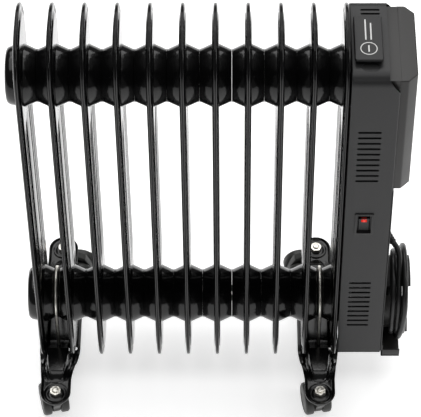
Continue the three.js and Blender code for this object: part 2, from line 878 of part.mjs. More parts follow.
// The swivelling body, at its stem: a round head with a web down to the axle.
function casterFork() {
  const hub = wheelRadius - forkInset;
  const web = [];
  const steps = 6;
  for (let i = 0; i <= steps; i += 1) {
    const angle = Math.PI * (1 + i / steps);
    web.push([trail + hub * Math.cos(angle), wheelRadius + hub * Math.sin(angle)]);
  }
  web.push([trail + 15, 33], [trail + 8, headTop - 8], [10, headTop], [-10, headTop], [-10, headTop - 12]);
  const plate = pulled(web, -forkWidth / 2, forkWidth / 2, alongX);
  const head = drumZ(casterHeadRadius, headTop - 8, headTop, 0, 0, 14);
  const bore = drumZ(stemRadius + clearance, 34 - 1.5, headTop + 5, 0, 0, 12);
  const axleHole = drumX(axleRadius + clearance, -20, 20, trail, wheelRadius, 12);
  return cut(join(plate, head), bore, axleHole);
}

function casterWheels() {
  const near = wheelGap / 2;
  const far = near + wheelWidth;
  const corner = wheelRadius / Math.cos(Math.PI / wheelSides);
  const wheel = turned(
    [[0, near], [corner, near], [corner, far - 3], [corner - 3, far], [0, far]],
    wheelSides,
    turnedX,
  ).rotate([180 / wheelSides, 0, 0]);
  const other = wheel.mirror([1, 0, 0]);
  const axle = drum(axleRadius, -near - 1, near + 1, 8, turnedX);
  return join(wheel, other, axle).translate([0, trail, wheelRadius]);
}

const casterNames = ['front_left', 'front_right', 'rear_left', 'rear_right'];
casterNames.forEach((name, i) => {
  const x = footPlaces[i % 2];
  const y = ((i < 2 ? -1 : 1) * stemSpacing) / 2;
  const place = (shape) => shape.rotate([0, 0, casterTurns[i]]).translate([x, y, 0]);
  add(`stem_${name}`, casterStem(x, y), zinc());
  add(`fork_${name}`, place(casterFork()), casterPlastic());
  add(`wheels_${name}`, place(casterWheels()), casterPlastic());
});

// ---------------------------------------------------------------- cord and its hooks
// A ring with two straight sides round both hooks, as points in Y and Z.
function coilOutline(radius, steps) {
  const points = [];
  for (let end = 0; end < 2; end += 1) {
    for (let i = 0; i <= steps; i += 1) {
      const angle = Math.PI * (end + i / steps);
      points.push([
        coilMiddleY + radius * Math.cos(angle),
        (end ? coilLowerZ : coilUpperZ) + radius * Math.sin(angle),
      ]);
    }
  }
  return points;
}

function coilRing(radius, from, to) {
  return pulled(coilOutline(radius, 10), from, to, alongX);
}

// One layer in the place next to the cover, two layers in the other places.
function cordCoil() {
  const coilEnd = coilInner + coilWidth;
  const narrow = coilRing(coilRadius + cordDiameter / 2, coilInner, coilEnd - 1);
  const wide = coilRing(coilOuter, layerStep, coilEnd);
  const hollow = coilRing(coilRadius - cordDiameter / 2, coilInner - 1, coilEnd + 1);
  return cut(join(narrow, wide), hollow);
}

// A curved saddle inside the coil's end, with an outer lip that keeps the turns on.
function hook(end) {
  const radius = saddleRadius;
  const middle = end === 'upper' ? coilUpperZ : coilLowerZ;
  const sign = end === 'upper' ? 1 : -1;
  const arc = (r, reversed) => {
    const points = [];
    for (let i = 0; i <= 8; i += 1) {
      const angle = (sign * Math.PI * (50 + i * 10)) / 180;
      points.push([coilMiddleY + r * Math.cos(angle), middle + r * Math.sin(angle)]);
    }
    return reversed ? points.reverse() : points;
  };
  const orient = (points) => (sign > 0 ? points : points.reverse());
  const band = orient([...arc(radius, false), ...arc(radius - hookThickness, true)]);
  const saddle = pulled(band, coverEnd + clearance, hookEnd, alongX);
  if (end === 'upper') return join(saddle, retainingTab());
  const lipBand = orient([...arc(radius + 6, false), ...arc(radius - 12, true)]);
  return join(saddle, pulled(lipBand, hookEnd - hookLip, hookEnd, alongX));
}

function retainingTab() {
  const top = coilUpperZ + saddleRadius - hookThickness / 2;
  const middle = coilMiddleY - tabShift;
  return block(
    [hookEnd - hookLip, middle - tabWidth / 2, top - tabHeight],
    [hookEnd, middle + tabWidth / 2, top],
  );
}

const trayTop = coilLowerZ - coilOuter - clearance;

// A shelf under the coil, with a low plate in front, that carries the lower hook.
function cordTray() {
  const front = coilMiddleY - trayWidth / 2;
  const back = coilMiddleY + trayWidth / 2 + trayReach;
  const shelfEnd = coilInner + coilWidth - 6;
  return join(
    block([coverEnd + clearance, front, trayTop - hookThickness], [shelfEnd, back, trayTop]),
    block([coverEnd + clearance, front, trayTop - 1], [coverEnd + clearance + 2, back, trayTop + 20]),
    block([coverEnd + clearance, front, trayTop - hookThickness], [shelfEnd, front + 2, trayTop + trayLip]),
  );
}

// The cord's first stretch lies in a slanted plane that meets the coil at its upper front.
const leadFoot = [
  coilMiddleY - coilRadius * Math.SQRT1_2,
  coilUpperZ + coilRadius * Math.SQRT1_2,
];
const leadX = coilInner + cordDiameter / 2 + cordPitch;
const tiltAngle = (reliefTilt * Math.PI) / 180;
const leadPoint = (x, along) =>
  new THREE.Vector3(
    x,
    leadFoot[0] + along * Math.SQRT1_2,
    leadFoot[1] + along * Math.SQRT1_2,
  );
const innerEdge = coilRadius - cordDiameter / 2;
const leadEnd = Math.sqrt((coilOuter + clearance) ** 2 - innerEdge ** 2);
const coverX = coverEnd + clearance;
const bendX = leadBend * (1 - Math.cos(tiltAngle));
const reliefTipX = leadX - bendX - straightEnd * Math.sin(tiltAngle);
const reliefTip =
  leadEnd + 2 + leadBend * Math.sin(tiltAngle) + straightEnd * Math.cos(tiltAngle);
const reliefRoot = reliefTip + (reliefTipX - coverX) / Math.tan(tiltAngle);

function strainRelief() {
  const tip = leadPoint(reliefTipX, reliefTip);
  const root = leadPoint(coverX, reliefRoot);
  const direction = tip.clone().sub(root).normalize();
  const start = tip.clone().addScaledVector(direction, -reliefLength - 12);
  const spin = new THREE.Quaternion().setFromUnitVectors(new THREE.Vector3(0, 1, 0), direction);
  const frame = new THREE.Matrix4().makeRotationFromQuaternion(spin).setPosition(start);
  const length = reliefLength + 12 - clearance;
  const cone = turned(
    [[0, 0], [reliefRootRadius, 0], [reliefRootRadius, 15], [reliefTipRadius, length], [0, length]],
    16,
    frame,
  );
  const inside = block([coverX - 60, -80, 100], [coverX, 120, 300]);
  const boss = drumX(reliefRootRadius + 4, coverX, coverX + 3, root.y, root.z, 20);
  return join(cut(cone, inside), boss);
}

function cordLead() {
  const points = [leadPoint(reliefTipX, reliefTip)];
  const steps = 4;
  for (let i = 0; i <= steps; i += 1) {
    const angle = tiltAngle * (1 - i / steps);
    const x = leadX - leadBend * (1 - Math.cos(angle));
    points.push(leadPoint(x, leadEnd + 2 + leadBend * Math.sin(angle)));
  }
  points.push(leadPoint(leadX, leadEnd));
  return rod(points.map((p) => p.toArray()), cordDiameter / 2, 8, 4);
}

// The last turn leaves the outer layer under the coil, rising a little, and runs back to the
// plug, which lies on the tray behind the coil.
const tailRise = (6 * Math.PI) / 180;
const tailX = leadX;
const tailRadius = coilRadius + cordDiameter;
const tailRun = Math.sqrt((coilOuter + clearance) ** 2 - (coilOuter - cordDiameter) ** 2);
const tailPoint = (along) => [
  tailX,
  coilMiddleY + tailRadius * Math.sin(tailRise) + along * Math.cos(tailRise),
  coilLowerZ - tailRadius * Math.cos(tailRise) + along * Math.sin(tailRise),
];
const plugStart = tailRun + tailLength;

function cordTail() {
  const points = [0, 0.5, 1].map((share) => tailPoint(tailRun + share * tailLength));
  return rod(points, cordDiameter / 2, 4, 4);
}

// Made hanging from the origin, then turned so that it lies in line with the cord's end.
function plug() {
  const bodyTop = -plugSleeveLength;
  const bodyLow = bodyTop - plugLength;
  const body = roundRectangle(plugWidth, plugThickness, 4, 2);
  const blades = [-1, 1].map((side) => {
    const x = (side * bladeSpacing) / 2;
    return block(
      [x - bladeThickness / 2, -4 - bladeWidth / 2, bodyLow - bladeLength],
      [x + bladeThickness / 2, -4 + bladeWidth / 2, bodyLow + 1],
    );
  });
  return join(
    drumZ(plugSleeveRadius, bodyTop - 1, 0, 0, 0, 14),
    pulled(body, bodyLow, bodyTop),
    drumZ(groundPin / 2, bodyLow - bladeLength - 3, bodyLow + 1, 0, 5, 10),
    ...blades,
  )
    .rotate([90 + (tailRise * 180) / Math.PI, 0, 0])
    .translate(tailPoint(plugStart + clearance));
}

add('cord_hook_upper', hook('upper'), darkPlastic());
add('cord_hook_lower', join(hook('lower'), cordTray()), darkPlastic());
add('strain_relief', strainRelief(), rubber());
add('cord_lead', cordLead(), rubber());
add('cord_coil', cordCoil(), rubber());
add('cord_tail', cordTail(), rubber());
add('plug', plug(), rubber());

// ---------------------------------------------------------------- place over the origin
const cordPieces = ['strain_relief', 'cord_lead', 'cord_coil', 'cord_tail', 'plug'];
const standing = new THREE.Box3();
radiator.children
  .filter((mesh) => !cordPieces.includes(mesh.name))
  .forEach((mesh) => standing.expandByObject(mesh, true));
const middle = standing.getCenter(new THREE.Vector3());
radiator.children.forEach((mesh) => {
  mesh.position.x = -middle.x;
  mesh.position.y = -middle.y;
});

export default radiator;
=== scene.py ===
"""Looks of the oil filled radiator heater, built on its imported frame.

Shapes are worked out in millimetres in the maker's own layout, where X = 0 is the middle fin, and
are moved into the frame, in metres, when a mesh is made."""
import math
import bmesh
import bpy
import numpy as np
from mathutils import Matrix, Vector


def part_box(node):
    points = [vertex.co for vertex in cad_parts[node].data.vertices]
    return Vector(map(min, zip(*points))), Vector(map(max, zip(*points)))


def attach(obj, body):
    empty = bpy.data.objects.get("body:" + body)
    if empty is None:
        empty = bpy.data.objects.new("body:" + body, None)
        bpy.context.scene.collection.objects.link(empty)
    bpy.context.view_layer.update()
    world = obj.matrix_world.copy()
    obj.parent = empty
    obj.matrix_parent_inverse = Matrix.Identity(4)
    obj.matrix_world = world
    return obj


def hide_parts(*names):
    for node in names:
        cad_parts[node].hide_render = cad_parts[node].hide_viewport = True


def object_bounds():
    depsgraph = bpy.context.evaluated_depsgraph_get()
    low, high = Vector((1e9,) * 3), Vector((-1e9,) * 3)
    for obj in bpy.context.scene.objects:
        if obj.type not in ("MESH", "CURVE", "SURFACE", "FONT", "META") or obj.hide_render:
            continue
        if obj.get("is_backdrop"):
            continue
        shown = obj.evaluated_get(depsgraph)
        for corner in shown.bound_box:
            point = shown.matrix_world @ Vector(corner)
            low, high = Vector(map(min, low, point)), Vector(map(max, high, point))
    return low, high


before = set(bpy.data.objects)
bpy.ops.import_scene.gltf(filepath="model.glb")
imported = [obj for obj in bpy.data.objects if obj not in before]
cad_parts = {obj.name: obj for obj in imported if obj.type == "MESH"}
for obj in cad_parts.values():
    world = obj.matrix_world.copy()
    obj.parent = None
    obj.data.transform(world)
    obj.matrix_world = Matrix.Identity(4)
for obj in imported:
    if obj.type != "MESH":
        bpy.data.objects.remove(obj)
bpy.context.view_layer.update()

# ---------------------------------------------------------------- layout of the heater
FIN_PITCH, FIN_DEPTH, FIN_HEIGHT, FIN_LIFT, FIN_CORNER = 37.0, 124.0, 581.0, 28.0, 57.0
FIN_PLACES = (np.arange(11) - 5) * FIN_PITCH
LOWER, UPPER = 113.5, 519.5
HUB, NECK = 35.5, 30.0
HOUSING_START, HOUSING_END = 188.8, 243.5
HOUSING_TOP, HOUSING_BOTTOM, FACE_Y = 581.4, 73.0, -63.7
VENT_X = 212.3
ROCKER_Z = (492 - 9 * 9.4 + 215) / 2 + 18
PANEL_END, PANEL_TOP, PANEL_LOW, PANEL_HALF = 263.5, 572.6, 387.6, 58.7
FOOT_PLACES = (-166.5, 166.5)
STEM_Y, PAD_TOP, WHEEL, TRAIL = 116.0, 56.5, 21.0, 20.0
CASTERS = {"front_left": 14, "front_right": 11, "rear_left": -97, "rear_right": 98}
MIDDLE = HOUSING_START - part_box("housing_wrap")[0].x * 1000


def in_frame(points):
    """Layout millimetres to frame metres: X loses the middle of the object, then all is / 1000."""
    return (np.asarray(points, float) - [MIDDLE, 0, 0]) / 1000


# ---------------------------------------------------------------- camera
camera = bpy.data.objects.new("camera", bpy.data.cameras.new("camera"))
bpy.context.scene.collection.objects.link(camera)
camera.data.sensor_width = 36
camera.data.lens = 205.9
camera.data.shift_x, camera.data.shift_y = -0.0515, -0.0247
camera.data.clip_end = 50
tilt = math.radians(50)
forward = Vector((0, math.cos(tilt), -math.sin(tilt)))
camera.location = Vector(in_frame([55.9, 0, 301])) - forward * 2.9202
camera.rotation_euler = (math.pi / 2 - tilt, 0, 0)
bpy.context.scene.camera = camera
bpy.context.scene.view_settings.view_transform = "Standard"


# ---------------------------------------------------------------- shader maths
class Value:
    """A socket of a material's nodes; arithmetic on it adds Math nodes."""

    def __init__(self, finish, socket):
        self.finish, self.socket = finish, socket

    def maths(self, operation, *others):
        return self.finish.node("Math", {"operation": operation}, *others)

    def __add__(self, other):
        return self.maths("ADD", self, other)

    def __mul__(self, other):
        return self.maths("MULTIPLY", self, other)

    def __sub__(self, other):
        return self.maths("SUBTRACT", self, other)

    def __rsub__(self, other):
        return self.maths("SUBTRACT", other, self)

    __radd__, __rmul__ = __add__, __mul__


class Finish:
    """One material: a Principled shader whose varying inputs are given as Values."""

    def __init__(self, name, **fixed):
        self.material = bpy.data.materials.new(name)
        self.material.use_nodes = True
        self.nodes = self.material.node_tree.nodes
        self.links = self.material.node_tree.links
        self.shader = next(n for n in self.nodes if n.type == "BSDF_PRINCIPLED")
        self.set(**fixed)
        self.place = self.node("TexCoord", {}, output="Object")

    def node(self, kind, settings, *values, output=0, **named):
        """A new node of that kind with its settings, then its sockets' values or links."""
        made = self.nodes.new("ShaderNode" + kind)
        for key, value in settings.items():
            setattr(made, key, value)
        for key, value in [*enumerate(values), *named.items()]:
            socket = made.inputs[key.replace("_", " ") if isinstance(key, str) else key]
            self.join(value, socket)
        return Value(self, made.outputs[output])

    def join(self, value, socket):
        if isinstance(value, Value):
            self.links.new(value.socket, socket)
        else:
            socket.default_value = value

    def set(self, **inputs):
        for key, value in inputs.items():
            if isinstance(value, tuple):
                value = (*value, 1.0)
            self.join(value, self.shader.inputs[key.replace("_", " ")])
        return self

    def noise(self, scale, detail=2.0, vector=None, rough=0.5):
        return self.node("TexNoise", {}, output="Fac", Vector=vector or self.place,
                         Scale=scale, Detail=detail, Roughness=rough)

    def stretched(self, x, y, z):
        return self.node("Mapping", {}, Vector=self.place, Scale=(x, y, z))

    def blend(self, share, dark, light):
        made = self.nodes.new("ShaderNodeMix")
        made.data_type = "RGBA"
        for socket, value in ((0, share), (6, (*dark, 1.0)), (7, (*light, 1.0))):
            self.join(value, made.inputs[socket])
        return Value(self, made.outputs[2])

    def relief(self, height, depth, strength=1.0):
        """Bump of that depth in metres."""
        self.set(Normal=self.node("Bump", {}, Height=height, Distance=depth, Strength=strength))
        return self


def gloss_paint(name="gloss_black_paint", peel_depth=0.00006):
    """Baked gloss enamel: orange peel a few millimetres across, dulled by dust in patches."""
    made = Finish(name, Specular_IOR_Level=0.42)
    dust = made.noise(14, 3)
    peel = made.noise(260, 2)
    made.set(Base_Color=made.blend(dust, (0.0022, 0.0022, 0.0024), (0.0048, 0.0048, 0.005)))
    made.set(Roughness=0.09 + dust * 0.10)
    return made.relief(peel, peel_depth, 1.0).material


def satin_paint(name="satin_black_paint", dark=(0.012, 0.012, 0.0125),
                light=(0.017, 0.017, 0.0175)):
    """Powder coat: fine grain in the height, and faint cloudiness in the colour."""
    made = Finish(name, Specular_IOR_Level=0.34)
    grain = made.noise(2300, 2)
    cloud = made.noise(22, 3)
    made.set(Base_Color=made.blend(cloud, dark, light), Roughness=0.34 + grain * 0.14)
    return made.relief(grain, 0.00005, 0.5).material


def moulded(name, dark, light, rough=0.42, grain_size=1500.0, depth=0.00005):
    """Moulded plastic with a spark-eroded grain, and soft handling wear."""
    made = Finish(name, Specular_IOR_Level=0.38)
    grain = made.noise(grain_size, 2)
    wear = made.noise(35, 3)
    made.set(Base_Color=made.blend(wear, dark, light), Roughness=rough + wear * 0.12)
    return made.relief(grain, depth, 0.6).material


def zinc_plate(name="zinc", dark=(0.80, 0.77, 0.70), light=(0.92, 0.90, 0.84)):
    """Bright zinc: warm metal, faintly mottled, with fine drawn lines."""
    made = Finish(name, Metallic=1.0)
    mottle = made.noise(260, 3)
    lines = made.noise(900, 1, made.stretched(1, 1, 0.08))
    made.set(Base_Color=made.blend(mottle, dark, light), Roughness=0.30 + mottle * 0.16)
    return made.relief(lines, 0.00003, 0.4).material


def rolled_steel():
    """Mill-finish sheet with long rolling lines."""
    made = Finish("steel", Metallic=1.0)
    lines = made.noise(600, 2, made.stretched(1, 1, 0.03))
    made.set(Base_Color=made.blend(lines, (0.36, 0.36, 0.36), (0.52, 0.52, 0.51)))
    made.set(Roughness=0.30 + lines * 0.15)
    return made.relief(lines, 0.00003, 0.3).material


def clear_red():
    """Lit red lens with a fine moulded prism pattern."""
    made = Finish("red_lens", Emission_Strength=0.55, Coat_Weight=0.6)
    prism = made.node("TexWave", {"wave_profile": "TRI"}, output="Fac",
                      Vector=made.place, Scale=900)
    made.set(Base_Color=made.blend(prism, (0.50, 0.010, 0.008), (0.72, 0.03, 0.02)))
    made.set(Emission_Color=made.blend(prism, (0.75, 0.015, 0.01), (1.0, 0.06, 0.03)),
             Roughness=0.2)
    return made.relief(prism, 0.0001, 0.5).material


def dark_window():
    """Smoked glossy plastic."""
    made = Finish("smoked_window", Coat_Weight=0.8, Coat_Roughness=0.02)
    smear = made.noise(40, 3)
    made.set(Base_Color=made.blend(smear, (0.006, 0.006, 0.007), (0.011, 0.011, 0.012)))
    return made.set(Roughness=0.08 + smear * 0.08).material


def lacquered_board():
    """Green circuit board lacquer over faint copper tracks."""
    made = Finish("board_green")
    tracks = made.node("TexWave", {"bands_direction": "Z"}, output="Fac", Vector=made.place,
                       Scale=120, Distortion=6)
    made.set(Base_Color=made.blend(tracks, (0.010, 0.09, 0.035), (0.02, 0.16, 0.06)))
    return made.set(Roughness=0.3 + tracks * 0.1).material


def printed_white():
    """Pad-printed white ink, slightly worn."""
    made = Finish("white_print")
    wear = made.noise(700, 2)
    made.set(Base_Color=made.blend(wear, (0.55, 0.55, 0.54), (0.78, 0.78, 0.77)))
    return made.set(Roughness=0.5 + wear * 0.1).material


GLOSS = gloss_paint()
FIN_GLOSS = gloss_paint("fin_black_paint", 0.00012)
SATIN = satin_paint()
PLASTIC = moulded("dark_plastic", (0.010, 0.010, 0.0103), (0.015, 0.015, 0.0155))
PANEL = moulded("panel_plastic", (0.014, 0.0132, 0.0125), (0.021, 0.020, 0.019), 0.34, 1900,
                0.00004)
CASTER = moulded("caster_plastic", (0.024, 0.025, 0.023), (0.038, 0.039, 0.036), 0.34, 900)
CORD = moulded("cord_rubber", (0.005, 0.005, 0.005), (0.010, 0.010, 0.010), 0.30, 700, 0.00005)
ZINC = zinc_plate()
NICKEL = zinc_plate("nickel_plate", (0.60, 0.58, 0.54), (0.76, 0.74, 0.70))
STEEL = rolled_steel()
RED = clear_red()
WINDOW = dark_window()
BOARD = lacquered_board()
WHITE = printed_white()


# ---------------------------------------------------------------- surfaces
def soften(points, radius, steps=4, closed=False):
    """Rounds each corner of a line with a quadratic curve that starts and ends radius away."""
    points = np.asarray(points, float)
    count = len(points)
    inner = range(count) if closed else range(1, count - 1)
    made = [] if closed else [points[:1]]
    share = np.linspace(0, 1, steps + 1)[:, None]
    for i in inner:
        before, here, after = points[i - 1], points[i], points[(i + 1) % count]
        a, b = before - here, after - here
        la, lb = np.linalg.norm(a), np.linalg.norm(b)
        start, end = here + a * min(radius / la, 0.48), here + b * min(radius / lb, 0.48)
        made.append(start * (1 - share) ** 2 + here * 2 * share * (1 - share) + end * share ** 2)
    if not closed:
        made.append(points[-1:])
    return np.concatenate(made)


def inset(outline, distance):
    """A closed outline moved inwards: each corner goes along the mean of its sides' normals."""
    ahead = np.roll(outline, -1, 0) - outline
    ahead = ahead / np.linalg.norm(ahead, axis=1, keepdims=True)
    normal = np.stack([-ahead[:, 1], ahead[:, 0]], 1)
    if np.cross(outline, np.roll(outline, -1, 0)).sum() < 0:
        normal = -normal
    before = np.roll(normal, 1, 0)
    turn = 1 + (normal * before).sum(1, keepdims=True)
    return outline + distance * (normal + before) / np.maximum(turn, 0.4)


def rounded(width, height, radius, u=0.0, v=0.0, steps=6):
    """A rectangle with round corners: a quarter circle of points about each corner's centre."""
    corner = np.linspace(0, math.pi / 2, steps + 1)
    angle = np.concatenate([corner + k * math.pi / 2 for k in range(4)])
    side = np.sign(np.repeat([[1, 1], [-1, 1], [-1, -1], [1, -1]], steps + 1, 0))
    middle = side * [width / 2 - radius, height / 2 - radius]
    return middle + radius * np.stack([np.cos(angle), np.sin(angle)], 1) + [u, v]


def skin(rings, capped=True):
    """Quads between neighbouring rings, and one face over the first and the last ring."""
    rings = np.asarray(rings, float)
    rows, count, _ = rings.shape
    row = np.arange(rows - 1)[:, None] * count
    here = np.arange(count)[None, :]
    after = (here + 1) % count
    quads = np.stack([row + here, row + after, row + count + after, row + count + here], -1)
    faces = quads.reshape(-1, 4).tolist()
    if capped:
        faces += [list(range(count))[::-1], list(range((rows - 1) * count, rows * count))]
    return rings.reshape(-1, 3), faces


def together(*surfaces):
    """Several surfaces as one."""
    points, faces, start = [], [], 0
    for p, f in surfaces:
        points.append(p)
        faces += [[i + start for i in face] for face in f]
        start += len(p)
    return np.concatenate(points), faces


def place(ring, along):
    """Points (u, v, h) with h running along X, Y or Z; u and v are the other two axes in order."""
    u, v, h = np.asarray(ring, float).T
    return np.stack({"x": (h, u, v), "y": (u, h, v), "z": (u, v, h)}[along], 1)


def slab(outline, low, high, edge=0.6, along="z", steps=3):
    """An outline carried from low to high with quarter-round rims: at angle a, the inset is
    edge (1 - sin a) and the rise edge (1 - cos a)."""
    outline = np.asarray(outline, float)
    angle = np.linspace(0, math.pi / 2, steps + 1)
    insets, rises = edge * (1 - np.sin(angle)), edge * (1 - np.cos(angle))
    levels = [*zip(insets, low + rises), *zip(insets[::-1], high - rises[::-1])]
    rings = [place(np.column_stack([inset(outline, e), np.full(len(outline), h)]), along)
             for e, h in levels]
    return skin(rings)


def brick(low, high, edge=0.5):
    """A box with rounded edges all round."""
    size, middle = np.subtract(high, low), np.add(low, high) / 2
    outline = rounded(size[0], size[1], min(edge, *size[:2] * 0.45), middle[0], middle[1], 3)
    return slab(outline, low[2], high[2], min(edge, size[2] * 0.45))


def spun(profile, origin=(0, 0, 0), axis=(0, 0, 1), sides=48):
    """A profile of (radius, height) turned round an axis: centre + height a + radius (cos, sin)."""
    profile = np.asarray(profile, float)
    axis = np.asarray(axis, float) / np.linalg.norm(axis)
    guide = np.array([0, 0, 1.0]) if abs(axis[2]) < 0.9 else np.array([1.0, 0, 0])
    first = np.cross(guide, axis)
    first /= np.linalg.norm(first)
    second = np.cross(axis, first)
    angle = np.linspace(0, 2 * math.pi, sides, endpoint=False)
    spoke = np.cos(angle)[:, None] * first + np.sin(angle)[:, None] * second
    rings = (np.asarray(origin, float) + profile[:, 1, None, None] * axis
             + profile[:, 0, None, None] * spoke)
    return skin(rings)


def tube(path, radius, sides=16):
    """A round section carried along a path; each section turns only as much as the path does."""
    path = np.asarray(path, float)
    tangent = np.gradient(path, axis=0)
    tangent /= np.linalg.norm(tangent, axis=1, keepdims=True)
    normal = np.cross(tangent[0], [0.31, 0.57, 0.76])
    normal /= np.linalg.norm(normal)
    normals = []
    for t in tangent:
        normal = normal - t * (normal @ t)
        normal /= np.linalg.norm(normal)
        normals.append(normal)
    normals = np.array(normals)
    other = np.cross(tangent, normals)
    angle = np.linspace(0, 2 * math.pi, sides, endpoint=False)
    rings = path[:, None] + radius * (
        np.cos(angle)[:, None] * normals[:, None] + np.sin(angle)[:, None] * other[:, None])
    return skin(rings)


def turned_about(surface, x, y, degrees):
    """A surface turned about an upright line through (x, y)."""
    points, faces = surface
    a = math.radians(degrees)
    turn = np.array([[math.cos(a), math.sin(a), 0], [-math.sin(a), math.cos(a), 0], [0, 0, 1]])
    return (points - [x, y, 0]) @ turn + [x, y, 0], faces


def mesh_of(name, surface):
    points, faces = surface
    mesh = bpy.data.meshes.new(name)
    mesh.from_pydata(in_frame(points).tolist(), [], faces)
    work = bmesh.new()
    work.from_mesh(mesh)
    bmesh.ops.remove_doubles(work, verts=work.verts, dist=1e-6)
    bmesh.ops.recalc_face_normals(work, faces=work.faces)
    work.to_mesh(mesh)
    work.free()
    return mesh


def carved(piece, cutters):
    """The piece with the cutters' solids taken away, as its own final mesh."""
    tool = bpy.data.objects.new("tool", mesh_of("tool", cutters))
    bpy.context.scene.collection.objects.link(tool)
    cut = piece.modifiers.new("cut", "BOOLEAN")
    cut.object, cut.solver, cut.operation = tool, "EXACT", "DIFFERENCE"
    bpy.context.view_layer.update()
    done = bpy.data.meshes.new_from_object(
        piece.evaluated_get(bpy.context.evaluated_depsgraph_get()))
    piece.modifiers.clear()
    piece.data = done
    bpy.data.objects.remove(tool)


def piece(name, surface, material, stands_for=(), body="radiator", slot=None, sharp=35, cut=None):
    """A finished piece: it rides on its body and stands for its CAD nodes."""
    made = bpy.data.objects.new(name, mesh_of(name, surface))
    bpy.context.scene.collection.objects.link(made)
    if cut:
        carved(made, cut)
    made.data.materials.clear()
    made.data.materials.append(material)
    made.data.shade_smooth()
    made.data.set_sharp_from_angle(angle=math.radians(sharp))
    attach(made, body)
    if stands_for:
        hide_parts(*([stands_for] if isinstance(stands_for, str) else stands_for))
    return made


# ---------------------------------------------------------------- mains cord
CORD_D, COIL_R, LAYER_R, COIL_OUTER, GAP = 7.0, 43.5, 50.5, 54.0, 0.3
CORD_SPAN = 47.0  # mean radius of the turns: a straight as an angle is its length over this
COIL_Y, COIL_LOW, COIL_HIGH = -6.0, 113.0, 137.0
FIRST, SECOND, THIRD = 256.7, 263.9, 271.1
START = math.radians(135)


def wound(share):
    """The wound cord after that share of its turns: an arc about each hook, joined by straights.
    u runs over arc, straight, arc, straight, and each stretch moves the angle or the centre."""
    straight = (COIL_HIGH - COIL_LOW) / CORD_SPAN
    whole = 2 * math.pi + 2 * straight
    bends = np.array([0, math.pi, math.pi + straight, whole - straight, whole])
    u = (share * whole + START) % whole
    angle = np.interp(u, bends, [0, math.pi, math.pi, 2 * math.pi, 2 * math.pi])
    middle = np.interp(u, bends, [COIL_HIGH, COIL_HIGH, COIL_LOW, COIL_LOW, COIL_HIGH])
    x = np.interp(smooth_steps(share, [0.5, 0.94, 1.4, 1.85, 3.05, 3.35]), [0, 1, 2, 3],
                  [SECOND, FIRST, THIRD, SECOND])
    hop = np.exp(-(((share - 1.58) / 0.11) ** 2) ** 1.5)
    rise = ramp(share, 2.36, 2.50)
    radius = COIL_R + (LAYER_R - COIL_R) * np.maximum(hop, rise)
    return np.stack([x, COIL_Y + radius * np.cos(angle), middle + radius * np.sin(angle)], 1)


def ramp(value, low, high):
    """0 below low, 1 above high, and 3 t t - 2 t t t between."""
    t = np.clip((np.asarray(value, float) - low) / (high - low), 0, 1)
    return t * t * (3 - 2 * t)


def smooth_steps(value, stops):
    """Counts how many ramps have been climbed: one between each pair of stops."""
    return sum(ramp(value, low, high) for low, high in zip(stops[::2], stops[1::2]))


def slanted(x, along):
    """A point in the slanted plane in which the cord comes down from its strain relief."""
    return [x, COIL_Y + (along - COIL_R) * math.sqrt(0.5),
            COIL_HIGH + (along + COIL_R) * math.sqrt(0.5)]


LEAN = math.radians(36)
LEAD_BEND, LEAD_END = 30.0, 36.72
TIP_X, TIP_ALONG, BOSS_X = 256.41, 58.78, 244.9
relief_tip = np.array(slanted(TIP_X, TIP_ALONG))
lead = [relief_tip.tolist()]
for a in np.linspace(LEAN, 0, 7):
    lead.append(slanted(SECOND - LEAD_BEND * (1 - math.cos(a)),
                        LEAD_END + 2 + LEAD_BEND * math.sin(a)))
lead += [slanted(SECOND, along) for along in (30, 22, 14, 7)]

# the tail leaves the outer layer under the coil and runs back, rising a little
TAIL_RISE = math.radians(6)
tail_run = math.sqrt((COIL_OUTER + GAP) ** 2 - (COIL_OUTER - CORD_D) ** 2)


def tail_point(along, x=SECOND, up=0.0):
    """That far along the tail's line, and that far above it."""
    cos, sin = math.cos(TAIL_RISE), math.sin(TAIL_RISE)
    return np.array([x, COIL_Y + LAYER_R * sin + along * cos - up * sin,
                     COIL_LOW - LAYER_R * cos + along * sin + up * cos])


tail = [tail_point(along).tolist() for along in np.linspace(2, tail_run + 8, 9)]
straight_share = 2 * math.pi + 2 * (COIL_HIGH - COIL_LOW) / CORD_SPAN
turns = (math.radians(276) - START + (COIL_HIGH - COIL_LOW) / CORD_SPAN
         + 3 * straight_share) / straight_share
coil = wound(np.linspace(0, turns, 200))
cord_path = np.concatenate([np.array(lead), coil, np.array(tail)])
cord = piece("mains_cord", tube(cord_path, CORD_D / 2, 20), CORD,
             ("cord_lead", "cord_coil", "cord_tail"), slot="cord_rubber", sharp=80)

# strain relief: a ribbed boot along the slanted plane, on a round boss
relief_end = np.array(slanted(BOSS_X, TIP_ALONG + (TIP_X - BOSS_X) / math.tan(LEAN)))
boot_axis = (relief_tip - relief_end) / np.linalg.norm(relief_tip - relief_end)
boot_long = float(np.linalg.norm(relief_tip - relief_end))
along = np.linspace(-2, boot_long - 0.2, 90)
share = np.clip(along / boot_long, 0, 1)
ribs = 0.55 * np.clip(np.sin(along * 2 * math.pi / 3.4) * 1.6, -1, 0) * ramp(along, 7, 8)
boot = spun(np.column_stack([6.2 - 1.8 * share + ribs, along]), relief_end, boot_axis, 40)
boss = spun([(10.2, 0.1), (10.2, 1.8), (9.9, 2.6), (9.0, 3.1), (7.6, 3.4), (5.0, 3.5)],
            (BOSS_X, relief_end[1], relief_end[2]), (1, 0, 0), 48)
relief = piece("cord_boot", together(boot, boss), CORD, "strain_relief", slot="cord_rubber",
               sharp=50)

